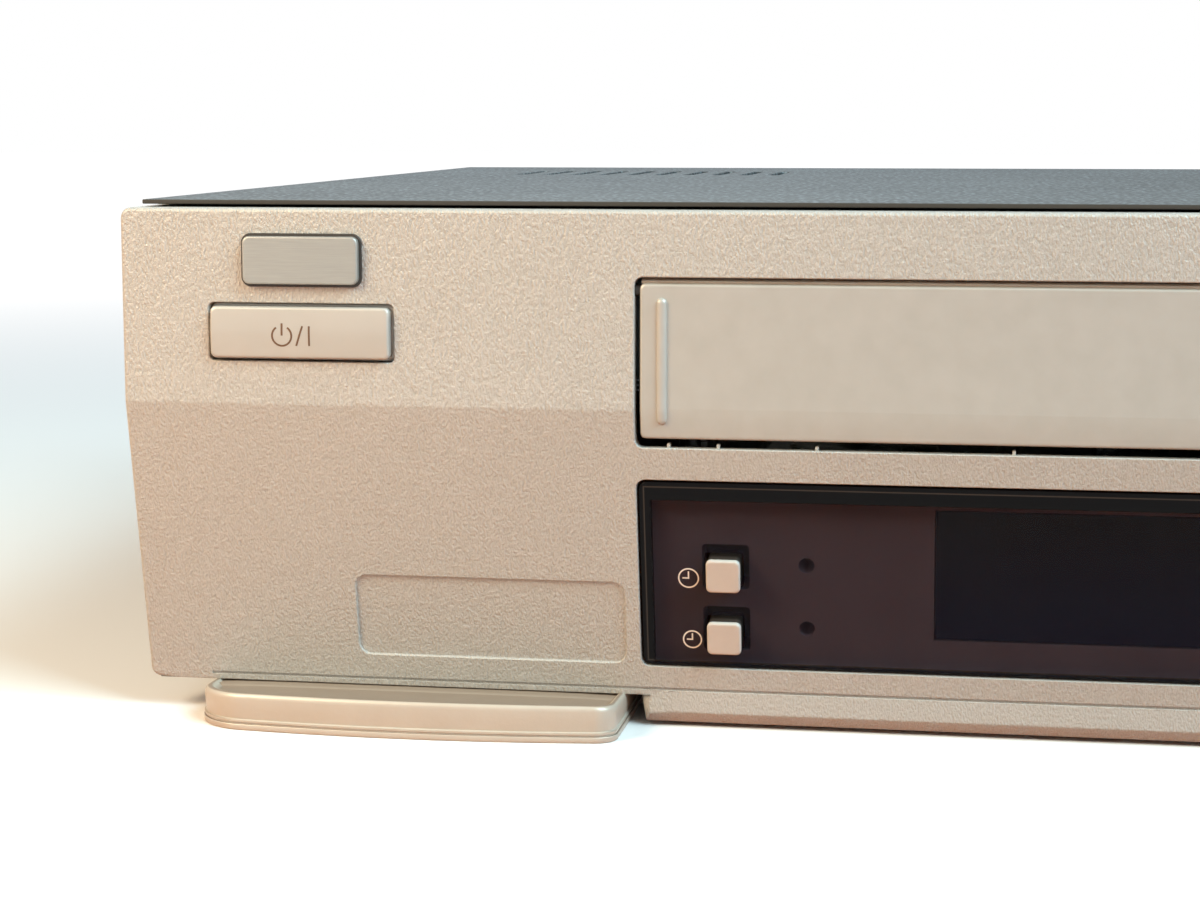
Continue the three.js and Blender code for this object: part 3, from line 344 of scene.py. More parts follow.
skirt_start, skirt_half, skirt_edge = 102.2 * MM, 106.2 * MM, 2.9 * MM
skirt_reach, heel = 6.1 * MM, 1.8 * MM
slot_half, slot_corner, slot_grow = 106.5 * MM, 2.2 * MM, 1.05 * MM
slot_low, slot_high = CREASE - 6.7 * MM, CREASE + 23.2 * MM


def points_at(*places):
    """Points from two or three coordinates, where a single one stands for all."""
    return np.stack(np.broadcast_arrays(*places), axis=-1)


def refined(points):
    """The ends of the skirt drawn out square to the feet and in again along its lower edge, and the
    sides of the door's opening set a little further apart."""
    x, y, z = points.T
    reach = np.abs(x)
    along = (reach - skirt_start) / (skirt_half - skirt_start)
    at_end = (z < panel_foot + 0.05 * MM) & (along > 0) & (along < 1.01)
    out = skirt_start + skirt_reach * np.clip(along, 0, 1) ** 0.4
    out -= heel * np.clip(1 - z / skirt_edge, 0, 1) ** 2
    at_slot = (reach > slot_half - slot_corner) & (reach < slot_half + 0.05 * MM) & (
        z > slot_low) & (z < slot_high)
    reach = np.select([at_end, at_slot], [out, reach + slot_grow], reach)
    return points_at(np.sign(x) * reach, y, z)


label_x, under_badge = -134.9 * MM, 79.29 * MM
panel_cuts = [(0, middle_of(node)[0]) for node in (
    "power_button", "cassette_door", "channel_up_button", "play_button",
    "rewind_button", "stop_button", "fast_forward_button")] + [(0, label_x), (2, under_badge)]
eased("front_shell", "front_panel", champagne, "champagne_plastic", panel_edges, panel_cuts, moved=refined)


# Badge: a bare stamped plate, satin silver with soft edges, stuck into a recess of the front. A thin
# dark gasket shows round it.
def skin(rings, joined=False):
    """A surface through rings of like points: a quad between two neighbours and their partners on the
    next ring. The end rings are closed by strips that join each point to the one opposite."""
    count, around = rings.shape[:2]
    index = np.arange(count * around).reshape(count, around)
    beside = np.roll(index, -1, axis=1)
    quads = np.stack([index[:-1], beside[:-1], beside[1:], index[1:]], axis=-1).reshape(-1, 4)
    if joined:
        quads = np.vstack([quads, np.stack([index[-1], beside[-1], beside[0], index[0]], axis=-1)])
    else:
        step = np.arange(around // 2 - 1)
        strip = np.stack([step, step + 1, around - 2 - step, around - 1 - step], axis=-1)
        quads = np.vstack([quads, strip[:, ::-1], strip + (count - 1) * around])
    return rings.reshape(-1, 3), quads


def circle(x, z, radius, start=0.0, end=360.0, count=40):
    """Points on a circle, from one angle to another in degrees, without the last where it closes."""
    angle = np.radians(np.linspace(start, end, count, endpoint=end - start < 360))
    return points_at(x + radius * np.cos(angle), z + radius * np.sin(angle))


def outline(x0, x1, z0, z1, radius, inset, levels, steps):
    """A rounded rectangle as (x, z) points, up its right side and down its left, with a point on both
    at each level. It is drawn in by inset all round."""
    wide, tall = (x1 - x0) / 2, (z1 - z0) / 2
    left_in, low_in = circle(radius, radius, radius, 270, 180, steps + 1).T
    away = np.concatenate([left_in, np.zeros(len(levels)), left_in[::-1]])
    height = np.concatenate([low_in - tall, np.array(levels) - z0 - tall, tall - low_in[::-1]])
    right = points_at((wide - away) * (1 - inset / wide), height * (1 - inset / tall))
    return np.vstack([right, right[::-1] * (-1, 1)]) + (x0 + wide, z0 + tall)


def upright(points, depth):
    """Points (x, z) on the upright face, put depth behind it."""
    return points_at(points[:, 0], FACE + depth, points[:, 1])


def leaning(points, depth):
    """Points (x, drop down the lower face), put depth behind that face."""
    x, drop = points.T
    return points_at(x, FACE + drop * math.sin(LEAN) + depth * math.cos(LEAN),
                     CREASE - drop * math.cos(LEAN) + depth * math.sin(LEAN))


def soft_edge(thick, radius, steps=5):
    """The side of a slab as (inset, depth) pairs: straight, then a quarter circle, then a little of the
    face itself so that it shades flat."""
    return [(0.0, thick), *circle(radius, radius, radius, 180, 270, steps + 1), (radius * 1.3, 0.0)]


def slab(box, radius, profile, surface, levels=(), steps=6):
    """A rounded rectangle carried through a profile of (inset, depth) pairs, laid on a surface."""
    return skin(np.stack([surface(outline(*box, radius, inset, levels, steps), depth)
                          for inset, depth in profile]))


def piece(name, shells, finish, slot, *replaced, body=CASE, sharp=35):
    """One object from closed shells, each a pair of points and faces, with its faces turned outwards."""
    offsets = np.cumsum([0] + [len(points) for points, _ in shells[:-1]])
    points = np.vstack([points for points, _ in shells])
    faces = [face for (_, quads), offset in zip(shells, offsets) for face in (quads + offset).tolist()]
    mesh = bpy.data.meshes.new(name)
    mesh.from_pydata(points.tolist(), [], faces)
    tidy = bmesh.new()
    tidy.from_mesh(mesh)
    bmesh.ops.recalc_face_normals(tidy, faces=tidy.faces)
    tidy.to_mesh(mesh)
    tidy.free()
    mesh.shade_smooth()
    mesh.set_sharp_from_angle(angle=math.radians(sharp))
    settle(placed(name, mesh), finish, slot, *replaced, body=body)


def grained(name, size, dark, light, rough, spread=0.0, detail=3, stretch=(1, 1, 1), metallic=0.0,
            relief=0.0, others=()):
    """A finish from one noise: its colour goes from dark to light, its roughness up by spread and its
    surface out by relief."""
    finish = Finish(name)
    grain = finish.noise(size, detail, stretch)
    finish.put({"Base Color": finish.blend(grain, srgb(*dark), srgb(*light)), "Metallic": metallic,
                "Roughness": rough + grain * spread if spread else rough, **dict(others)})
    if relief:
        finish.put({"Normal": finish.bump(grain, relief)})
    return finish


badge_low, badge_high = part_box("badge_plate")
badge_box = left, right, low, high = badge_low.x, badge_high.x, badge_low.z, badge_high.z
badge_stand, badge_corner = badge_low.y - FACE, 1.2 * MM
badge_metal = grained("satin badge metal", 0.12 * MM, (150, 149, 145), (172, 170, 165), 0.38, 0.16,
                      stretch=(0.03, 1, 1), metallic=0.6, relief=0.01 * MM)
badge_edge = soft_edge(-badge_stand - 0.3 * MM, 0.35 * MM)
piece("badge", [slab(
    badge_box, badge_corner, [(inset, depth + badge_stand) for inset, depth in badge_edge], upright)],
    badge_metal, "badge_metal", "badge_plate")

gasket_out, gasket_thick, gasket_edge = 0.5 * MM, 0.35 * MM, 0.1 * MM
gasket_box = (left - gasket_out, right + gasket_out, low - gasket_out, high + gasket_out)
dark_trim = grained("dark trim", 2 * MM, (44, 39, 35), (58, 51, 46), 0.55, detail=2)
piece("badge_gasket", [slab(
    gasket_box, badge_corner + gasket_out,
    [(0, 0), (0, gasket_edge - gasket_thick), (gasket_edge, -gasket_thick)], upright)],
    dark_trim, "black_plastic")


# Push buttons: caps of the same plastic left smooth and satin, crowned a little from top to bottom,
# each with a thin printed or moulded sign. Each slides in its own hole and comes back on a spring.
satin = grained("satin champagne", 9 * MM, (183, 180, 173), (193, 190, 184), 0.33, 0.1, detail=4,
                metallic=0.25, others={"Specular IOR Level": 0.45})
satin.put({"Normal": satin.bump(satin.noise(0.25 * MM), 0.006 * MM)})
print_brown = grained("brown print", 0.3 * MM, (96, 70, 52), (116, 88, 66), 0.5, detail=2)
PRINT_STAND, PRINT_SUNK = 0.03 * MM, 0.05 * MM


def directions(rows):
    """Each row drawn out or in to a length of one."""
    return rows / np.linalg.norm(rows, axis=1, keepdims=True)


def stroke(path, width, surface, closed=False):
    """A printed line: a flat strip of the width along a path of (x, z) points, mitred at its bends."""
    path = np.array(path, float)
    if closed:
        before, after = np.roll(path, 1, axis=0), np.roll(path, -1, axis=0)
    else:
        before = np.vstack([2 * path[0] - path[1], path[:-1]])
        after = np.vstack([path[1:], 2 * path[-1] - path[-2]])
    entering, quarter = directions(path - before), np.array([[0, 1], [-1, 0]])
    across = directions((entering + directions(after - path)) @ quarter)
    across /= (across * (entering @ quarter)).sum(1, keepdims=True)
    rows = [surface(path + across * way * width / 2, depth) for way, depth in (
        (1, -PRINT_STAND), (1, PRINT_SUNK), (-1, PRINT_SUNK), (-1, -PRINT_STAND))]
    return skin(np.stack(rows, axis=1), joined=closed)


def blot(points, surface):
    """A printed solid shape: an outline of (x, z) points, an even number and mirrored end to end."""
    points = np.array(points, float)
    return skin(np.stack([surface(points, PRINT_SUNK), surface(points, -PRINT_STAND)]))


def face_box(node, surface):
    """The box of a button's front on its face, from its foremost points, and how far it stands out."""
    x, y, z = corners(node).T
    if surface is upright:
        across, depth = z, y - FACE
    else:
        across = (y - FACE) * math.sin(LEAN) + (CREASE - z) * math.cos(LEAN)
        depth = (y - FACE) * math.cos(LEAN) - (CREASE - z) * math.sin(LEAN)
    front = depth < depth.min() + 0.01 * MM
    return (x[front].min(), x[front].max(), across[front].min(), across[front].max()), -depth.min()


WALL_REACH, LEDGE, LEDGE_OUT, LEDGE_EDGE = 3.9 * MM, 1.0 * MM, 0.42 * MM, 0.1 * MM
CAP_CORNER, CAP_EDGE = 0.9 * MM, 0.45 * MM


def push_button(name, surface, sag, signs):
    """A cap for a packed button: a ledge that nearly fills the opening, and a face that falls away above
    and below its middle, by sag at its edges, as the distance to the power of one and a half."""
    box, rise = face_box(name, surface)
    middle, half = (box[2] + box[3]) / 2, (box[3] - box[2]) / 2

    def face(points, depth):
        return surface(points, depth - rise + sag * np.abs((points[:, 1] - middle) / half) ** 1.5)

    levels = np.linspace(box[2], box[3], 13)[2:-2]
    profile = [
        (-LEDGE_OUT, rise + WALL_REACH), (-LEDGE_OUT, rise + LEDGE + LEDGE_EDGE),
        (LEDGE_EDGE - LEDGE_OUT, rise + LEDGE), *soft_edge(rise + LEDGE, CAP_EDGE)]
    shells = [slab(box, CAP_CORNER, profile, face, levels)]
    piece(name + "_cap", shells, satin, "satin_plastic", name, body=name)
    shells = signs((box[0] + box[1]) / 2, middle, face)
    piece(name + "_sign", shells, print_brown, "satin_plastic", body=name)


def power_signs(x, z, face):
    """A broken ring with a line in its gap, a slash and a bar, as on any power key. The lines' ends are
    millimetres from the ring's middle."""
    line, ring, ring_left, ring_drop, tall = 0.34 * MM, 1.76 * MM, 3.05 * MM, 0.5 * MM, 1.75
    middle = np.array([x - ring_left, z - ring_drop])
    ends = [((0, 0.05), (0, 2.2)), ((2.6, -tall), (3.75, tall)), ((4.95, -tall), (4.95, tall))]
    return [stroke(circle(*middle, ring, 125, 415), line, face)] + [
        stroke(middle + MM * np.linspace(start, end, 9), line, face) for start, end in ends]


def arrow(x, z, size, face, heading):
    """A filled triangle: heading is (1, 0) to point right, (-1, 0) left, (0, 1) up the face."""
    ahead = np.array(heading) * size
    beside = np.array([-ahead[1], ahead[0]])
    base = np.array([x, z]) - ahead / 2
    tip = base + ahead
    return blot([base - beside * 0.6, tip - beside * 0.01, tip + beside * 0.01, base + beside * 0.6], face)


def bar(x, z, wide, high, face):
    """A filled rectangle about a point."""
    corner = np.array([(1, -1), (1, 1), (-1, 1), (-1, -1)])
    return blot((x, z) + corner * (wide / 2, high / 2), face)


def winding_signs(way):
    """Two arrows in a row, pointing the way the tape is wound."""
    size, apart = 2 * MM, 1.1 * MM
    return lambda x, z, face: [arrow(x + step, z, size, face, (way, 0)) for step in (-apart, apart)]


sign = 2.4 * MM
wide_sag, small_sag = 0.4 * MM, 0.12 * MM
push_button("power_button", upright, wide_sag, power_signs)
push_button("eject_button", upright, wide_sag, lambda x, z, face: [
    arrow(x, z + 0.5 * MM, sign, face, (0, 1)), bar(x, z - 1.5 * MM, 2.8 * MM, 0.6 * MM, face)])
push_button("channel_up_button", upright, 0.1 * MM, lambda x, z, face: [arrow(x, z, sign, face, (0, 1))])
push_button("channel_down_button", upright, 0.1 * MM, lambda x, z, face: [arrow(x, z, sign, face, (0, -1))])
push_button("play_button", leaning, 0.15 * MM, lambda x, z, face: [arrow(x, z, 3 * MM, face, (1, 0))])
push_button("stop_button", leaning, small_sag, lambda x, z, face: [bar(x, z, sign, sign, face)])
push_button("rewind_button", leaning, small_sag, winding_signs(-1))
push_button("fast_forward_button", leaning, small_sag, winding_signs(1))
push_button("record_button", leaning, small_sag, lambda x, z, face: [
    blot(np.roll(circle(x, z, 1.1 * MM), 10, axis=0), face)])
push_button("pause_button", leaning, small_sag, lambda x, z, face: [
    bar(x + step, z, 0.7 * MM, 2.2 * MM, face) for step in (-0.75 * MM, 0.75 * MM)])


# Cassette door: a satin plastic flap that follows the panel's crease, with a half-round rib near its
# left end. It hangs on two pins at its top corners, under a lip that keeps dust out.
DOOR = "cassette_door"
door_half, door_inset, door_wall = 106.65 * MM, 0.4 * MM, 2.0 * MM
door_low, door_high = (corner.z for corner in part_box(DOOR))


def folded(points, depth):
    """Points (x, z) on the door: upright above the crease and leaning back below it."""
    x, z = points.T
    return points_at(x, FACE + door_inset + depth + np.maximum(CREASE - z, 0) * math.tan(LEAN), z)


def about(at, axis, along, across, up):
    """Points at a distance along an axis from the point at, and two distances square to it."""
    axis = np.array(axis, float)
    first = np.cross(axis, (0.0, 0.0, 1.0) if abs(axis[2]) < 0.9 else (1.0, 0.0, 0.0))
    first /= np.linalg.norm(first)
    return np.array(at) + along * axis + across * first + up * np.cross(axis, first)


def turned(at, axis, profile, sides=32, hollow=False):
    """A profile of (distance along the axis, radius) pairs turned round the axis from the point at. A
    hollow one closes on itself and has no ends."""
    along, radius = (np.array(column)[:, None, None] for column in np.array(profile).T)
    angle = np.linspace(0, 2 * math.pi, sides, endpoint=False)[None, :, None]
    return skin(about(at, axis, along, radius * np.cos(angle), radius * np.sin(angle)), joined=hollow)


def half_round(x, z0, z1, width, rise, bed, surface, rows=40, columns=13):
    """A rib: a half circle across, its width and height drawn in round at both ends, on a flat bed."""
    height = z0 + (z1 - z0) * (1 - np.cos(np.linspace(0, math.pi, rows))) / 2
    reach = np.clip(np.minimum(height - z0, z1 - height) / (width / 2), 0, 1)
    share = np.maximum(np.sqrt(reach * (2 - reach)), 0.02)[:, None]
    angle = np.linspace(0, math.pi, columns)
    across = x + share * np.concatenate([-np.cos(angle), np.cos(angle) * 0.98]) * width / 2
    depth = np.hstack([-rise * np.sin(angle) * share, np.full((rows, columns), bed)])
    points = points_at(across, height[:, None])
    return skin(surface(points.reshape(-1, 2), depth.ravel()).reshape(rows, -1, 3))


def flange(half, y, z, radius, thick, start=50, end=175, steps=18):
    """The door's top lip: an arc about the hinge from end to end of the door, open below and in front."""
    outer, inner = (circle(y, z, size, 180 - start, 180 - end, steps) for size in (radius, radius - thick))
    loop = np.vstack([outer, inner[::-1]]).T
    return skin(np.stack([points_at(x, *loop) for x in (-half, half)]))


door_finish = Finish("door satin")
mottle = door_finish.noise(4 * MM, 3)
door_finish.put({
    "Base Color": door_finish.blend(mottle, srgb(178, 176, 169), srgb(189, 187, 181)),
    "Metallic": 0.28, "Roughness": 0.36 + mottle * 0.08, "Specular IOR Level": 0.45,
    "Normal": door_finish.bump(mottle * 0.7 + door_finish.noise(0.3 * MM) * 0.3, 0.012 * MM)})
rib_wide, rib_in, rib_rise, rib_bed = 1.9 * MM, 2.9 * MM, 0.7 * MM, 0.3 * MM
rib_low, rib_high = door_low + 2.5 * MM, door_high - 2.4 * MM
door_levels = [CREASE - 0.02 * MM, CREASE, CREASE + 0.02 * MM]
hinge_z, hinge_y = door_high - 1.2 * MM, FACE + 2.0 * MM
lip_radius, lip_thick, lip_in = 2.1 * MM, 0.7 * MM, 0.3 * MM
pin_radius, pin_out, pin_in = 1.0 * MM, 2.55 * MM, 2 * MM
piece("door_flap", [
    slab((-door_half, door_half, door_low, door_high), 0.9 * MM, soft_edge(door_wall, 0.5 * MM), folded,
         door_levels),
    half_round(rib_in + rib_wide / 2 - door_half, rib_low, rib_high, rib_wide, rib_rise, rib_bed, folded),
    flange(door_half - lip_in, hinge_y, hinge_z, lip_radius, lip_thick),
], door_finish, "satin_plastic", DOOR, body=DOOR)
# The hinge pins are dark plastic as painted shade, for the dark gaps at the door's top corners.
piece("door_pins", [
    turned((side * (door_half - pin_in), hinge_y, hinge_z), (side, 0, 0), [
        (0, pin_radius), (pin_in + pin_out - 0.3 * MM, pin_radius), (pin_in + pin_out, 0.7 * MM)])
    for side in (-1, 1)], dark_trim, "black_plastic", body=DOOR)


# Door stops: small ribs moulded on the sill of the cassette opening, where the closed flap comes to
# rest. They are of the front's own plastic, left smooth.
sill, stop_half, stop_rise, stop_edge = door_low - 1.6 * MM, 0.3 * MM, 0.75 * MM, 0.12 * MM
stop_places = [side * x * MM for side in (-1, 1) for x in (101.8, 93.1, 76.0, 42.5)]
stop_front, stop_long = FACE + (CREASE - sill) * math.tan(LEAN) + 0.9 * MM, 1.6 * MM


def on_sill(points, height):
    """Points (x, distance behind the front end) at a height over the sill, lying level."""
    return points_at(points[:, 0], stop_front + points[:, 1], sill + height)


piece("door_stops", [slab(
    (x - stop_half, x + stop_half, 0, stop_long), stop_edge,
    [(0, -0.1 * MM), (0, stop_rise - stop_edge), (stop_edge, stop_rise)], on_sill, steps=2)
    for x in stop_places], satin, "champagne_plastic")


# Display: a smoked acrylic window with a black border behind its edge, clipped in over a plum-brown
# carrier that holds the dark display tube and two small lamps. A thin light line just inside the
# window's edge is a painted highlight, and a blue reflection is painted on the lower part of the tube.
window_box, _ = face_box("display_window", leaning)
window_half, window_top, window_foot = window_box[1:]
border_side, border_top, border_low, border_soft = 2.1 * MM, 3.3 * MM, 0.3 * MM, 0.15 * MM
highlight_inset, highlight_width = 0.95 * MM, 0.16 * MM
smoked = Finish("smoked acrylic")
across, drop = smoked.along("X"), (CREASE - smoked.along("Z")) * (1 / math.cos(LEAN))
clear = (
    abs(across).rise(window_half - border_side + border_soft, window_half - border_side)
    * drop.rise(window_top + border_top, window_top + border_top + border_soft)
    * drop.rise(window_foot - border_low, window_foot - border_low - border_soft))
from_edge = smoked.maths("MINIMUM", window_half - abs(across), smoked.maths(
    "MINIMUM", drop - window_top, window_foot - drop))
# Painted highlight: a thin light line just inside the window's edge, as light on a bevel there.
line = abs(from_edge - highlight_inset).rise(highlight_width, highlight_width * 0.4)
smoked.put({
    "Base Color": smoked.blend(
        line * 0.5, smoked.blend(clear, srgb(16, 16, 20), srgb(24, 21, 29)), srgb(92, 88, 84)),
    "Roughness": 0.06 + smoked.noise(20 * MM, 3) * 0.05, "IOR": 1.49, "Specular IOR Level": 0.08,
    "Alpha": 1 - clear * 0.5})
key_x, key_reach = middle_of("timer_button")[0], 5 * MM
# The two holes for the timer keys are rounded less than the outer edge.
eased("smoked_window", "display_window", smoked, "smoked_window",
      lambda middle: MM * np.where(np.abs(middle[:, 0] - key_x) < key_reach, 0.12, 0.4), [(0, key_x)])


def wear(finish, *names):
    """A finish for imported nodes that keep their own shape."""
    for name in names:
        for slot in nodes[name].material_slots:
            slot.material = finish.material


plum = grained("plum carrier", 12 * MM, (190, 168, 188), (210, 188, 210), 0.75,
               others={"Specular IOR Level": 0.2})
wear(plum, "display_carrier")
tube_glass = Finish("display glass")
# Painted reflection: the tube's glass turns blue towards its foot and is olive grey higher up.
reflection_fade, blue_reflection = (40 * MM, 20 * MM), tube_glass.blend(
    tube_glass.noise(0.2 * MM, 1), srgb(8, 14, 70), srgb(12, 20, 96))
tube_glass.put({
    "Base Color": tube_glass.blend(tube_glass.along("Z").rise(*reflection_fade), srgb(40, 42, 32), blue_reflection),
    "Roughness": 0.12, "Specular IOR Level": 0.25})
wear(tube_glass, "display_tube")


def on_window(points, depth):
    """Points on the leaning face of the window, which lies a little behind the panel's."""
    return leaning(points, depth + 0.3 * MM)


def clock(x, drop_at, radius, line=0.26 * MM):
    """A clock face: a ring, and hands to nine and to twelve."""
    hands = [(x - radius * 0.62, drop_at), (x, drop_at), (x, drop_at - radius * 0.72)]
    return [stroke(circle(x, drop_at, radius), line, on_window, closed=True), stroke(hands, line, on_window)]


upper_clock, lower_clock = (-98.75 * MM, 30.95 * MM, 1.75 * MM), (-98.3 * MM, 42.65 * MM, 1.6 * MM)
clock_white = grained("white print", 0.4 * MM, (222, 218, 210), (240, 236, 228), 0.5, detail=2)
piece("clock_icons", clock(*upper_clock) + clock(*lower_clock), clock_white, "cream_plastic")

cream = grained("cream plastic", 3 * MM, (198, 194, 188), (210, 207, 201), 0.38, 0.1, others={
    "Subsurface Weight": 0.05, "Subsurface Radius": (0.002, 0.001, 0.0008)})
cream.put({"Normal": cream.bump(cream.noise(0.3 * MM), 0.006 * MM)})
key_low, key_thick, key_waist, key_edge = 0.25 * MM, 0.9 * MM, 0.12 * MM, 0.35 * MM
# Each timer key is a cream cap on a dark stem. The stem's dark plastic is painted shade, for the shade round
# the keys behind the smoked window.
for name in ("timer_button", "second_timer_button"):
    (left, right, low, high), rise = face_box(name, leaning)
    key_box = (left, right, low + key_low, high + key_low)
    cap = [(inset, depth - rise) for inset, depth in soft_edge(key_thick, key_edge)]
    shade_stem = [(key_waist, WALL_REACH), (key_waist, key_thick - rise - 0.05 * MM)]
    piece(name + "_cap", [slab(key_box, CAP_CORNER, cap, leaning)], cream, "cream_plastic", name, body=name)
    piece(name + "_stem", [slab(key_box, CAP_CORNER, shade_stem, leaning)], dark_trim, "black_plastic", body=name)


# Front feet: broad hollow mouldings in champagne plastic, bowed in front, with a rolled rim round a
# shallow dish on top and two fine steps near the floor. Their upward faces are painted a darker brown,
# as painted shade. They clip into the base pan.
foot_plastic = Finish("foot plastic")
foot_film = foot_plastic.noise(5 * MM, 3)
# Painted shade: faces that look upwards, the dish and the top of the rim, turn a darker brown.
level = foot_plastic.node("ShaderNodeSeparateXYZ", {}, {
    "Vector": foot_plastic.node("ShaderNodeTexCoord", output="Normal")}, "Z").rise(0.86, 0.97)
foot_tone = foot_plastic.blend(foot_film, srgb(192, 182, 168), srgb(202, 193, 180))
foot_plastic.put({
    "Base Color": foot_plastic.blend(level, foot_tone, srgb(146, 130, 116)),
    "Metallic": 0.2, "Roughness": 0.34 + foot_film * 0.1,
    "Normal": foot_plastic.bump(foot_plastic.noise(0.6 * MM, 3), 0.03 * MM)})
foot_low, foot_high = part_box("front_foot_right")
foot_middle, foot_half = (foot_low.x + foot_high.x) / 2, (foot_high.x - foot_low.x) / 2
foot_bow, outer_corner, inner_corner = 3 * MM, 11 * MM, 4 * MM
foot_fall, fall_end, dish_back = 1.0 * MM, 22.3 * MM, -126.2 * MM
# The side and rim from the floor up, as (inset, height), and the dish, with its distance from dish_back.
FOOT_SIDE = [
    (0.9, 0.0), (0.3, 0.0), (0.08, 0.08), (0.0, 0.3), (0.0, 1.0), (0.06, 1.1), (0.3, 1.15), (0.32, 1.35),
    (0.14, 1.45), (0.12, 1.8), (0.3, 1.9), (0.42, 2.0), (0.36, 2.4), (0.24, 4.0), (0.2, 5.6), (0.24, 6.1),
    (0.42, 6.5), (0.72, 6.72), (1.05, 6.76), (1.35, 6.68), (1.6, 6.4)]
FOOT_DISH = [(1.8, 6.3, 0), (2.2, 5.95, 0.6), (2.8, 5.8, 1.2)]


def foot_ring(side, inset, height, back):
    """The foot cut level: a quarter circle, a parabola and a quarter circle along its front, and
    straight across its back. Above half its height it falls towards the panel."""
    across = np.linspace(foot_low.x + inner_corner, foot_high.x - outer_corner, 41)
    bow = foot_low.y + foot_bow * ((across - foot_middle) / foot_half) ** 2
    x, y = np.vstack([
        circle(across[0], bow[0] + inner_corner, inner_corner, 180, 270, 13)[:-1], points_at(across, bow),
        circle(across[-1], bow[-1] + outer_corner, outer_corner, 270, 360, 13)[1:]]).T
    x, y = foot_middle + (x - foot_middle) * (1 - inset / foot_half), y + inset
    x, y = np.concatenate([x, x[::-1]]), np.concatenate([y, np.full(len(y), back)])
    slope = np.clip((y - foot_low.y) / fall_end, 0, 1) if height > foot_high.z / 2 else 0 * y
    fall = foot_fall * slope * (1 + 0.5 * np.abs((x - foot_middle) / foot_half) ** 8)
    return points_at(side * x, y, height - fall)


for name, side in (("left", -1), ("right", 1)):
    rings = [foot_ring(side, inset * MM, height * MM, foot_high.y - inset * MM)
             for inset, height in FOOT_SIDE]
    rings += [foot_ring(side, inset * MM, height * MM, dish_back - off * MM)
              for inset, height, off in FOOT_DISH]
    piece(f"front_foot_{name}_moulding", [skin(np.stack(rings))], foot_plastic, "champagne_plastic",
          f"front_foot_{name}")


# Top cover: one steel sheet folded down at both sides, in a grey speckled paint, with its vents
# punched at the back left. A thin band along its front edge is painted darker, as painted shade of
# the gap over the panel.
speckled = Finish("speckled cover paint")
speck = speckled.noise(0.8 * MM)
paint = speckled.blend(
    ((speck - 0.5) * 2.4 + speckled.noise(60 * MM, 3)).rise(0, 1), srgb(54, 57, 59), srgb(94, 98, 100))
flecked = speckled.blend(speckled.cells(1.4 * MM).rise(0.42, 0.2) * 0.7, paint, srgb(146, 155, 160))
cover_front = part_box("top_cover")[0].y
# Painted shade: a thin dark band along the cover's front edge, for the shadowed gap over the panel.
front_edge_shade = speckled.along("Y").rise(cover_front + 0.3 * MM, cover_front + 0.1 * MM)
speckled.put({
    "Base Color": speckled.blend(front_edge_shade, flecked, srgb(74, 70, 66)),
    "Roughness": 0.55 + speck * 0.15, "Specular IOR Level": 0.12,
    "Normal": speckled.bump(speck, 0.05 * MM)})
behind_vents = 77 * MM
eased("cover_sheet", "top_cover", speckled, "cover_paint", lambda middle: 0.2 * MM, [(1, behind_vents)])


# Cover screws: two to a side, pan heads of black-chromed steel with a cross recess. They pass through
# the cover's sides into the base pan.
def screw_head(at, axis, radius, rise, slot_wide=0.11, slot_long=0.58, dome=0.45):
    """A pan head: a dome that falls away towards its rim, sunk by half inside two crossed slots."""
    share = np.linspace(1, 0.02, 20)[:, None, None]
    angle = np.linspace(0, 2 * math.pi, 48, endpoint=False)[None, :, None]
    u, v = share * np.cos(angle), share * np.sin(angle)
    slots = (np.minimum(abs(u), abs(v)) < slot_wide) & (np.maximum(abs(u), abs(v)) < slot_long)
    height = rise * ((1 - share ** 3.2) * dome + (1 - dome) * (share < 0.999) - 0.5 * slots)
    return skin(about(at, axis, height, radius * u, radius * v))


screw_steel = grained("blackened screw steel", 1.2 * MM, (46, 45, 44), (78, 76, 74), 0.32, 0.2, metallic=0.8)
head_rise, shank, shank_tip = 1.2 * MM, 1.5 * MM, 0.8 * MM
for corner in ("left_front", "left_rear", "right_front", "right_rear"):
    node = "cover_screw_" + corner
    low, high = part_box(node)
    _, y, z = middle_of(node)
    outward = -1 if low.x < 0 else 1
    outer, tip = (high.x, low.x)[::outward]
    seat = outer - outward * head_rise
    piece(node + "_steel", [
        screw_head((seat, y, z), (outward, 0, 0), (high.y - low.y) / 2, head_rise),
        turned((tip, y, z), (outward, 0, 0), [
            (0, shank / 2), (shank_tip, shank), (abs(seat - tip) - 0.02 * MM, shank)])],
        screw_steel, "bright_steel", node)


# Rear panel and base pan: galvanised steel sheet, the one punched for the sockets and held by small
# screws along its top and bottom, the other pressed and folded up as the bottom of the case.
zinc = Finish("galvanised sheet")
spangle = zinc.node("ShaderNodeSeparateColor", {}, {"Color": zinc.cells(6 * MM, "Color")})
zinc_film = zinc.noise(0.6 * MM, 3, (0.2, 1, 1))
zinc.put({
    "Base Color": zinc.blend(spangle * 0.7 + zinc_film * 0.3, srgb(150, 153, 155), srgb(184, 187, 189)),
    "Metallic": 0.75, "Roughness": 0.34 + spangle * 0.12 + zinc_film * 0.1,
    "Normal": zinc.bump(zinc_film, 0.01 * MM)})
TO_BACK = (0, 1, 0)
rear_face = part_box("rear_panel")[1].y
eased("rear_sheet", "rear_panel", zinc, "zinc_sheet", lambda middle: 0.15 * MM, [
    (0, middle_of(node)[0]) for node in (
        "scart_socket_1", "scart_socket_2", "audio_sockets", "tuner_module", "mains_inlet")], segments=2)
wear(zinc, "base_pan")
rear_head, rear_rise = 2.9 * MM, 1.5 * MM
screw_rows, screw_columns = (88, 10), (-186, -62, 62, 186)
piece("rear_panel_screws", [
    screw_head((x * MM, rear_face - 0.02 * MM, z * MM), TO_BACK, rear_head, rear_rise)
    for z in screw_rows for x in screw_columns], screw_steel, "bright_steel")


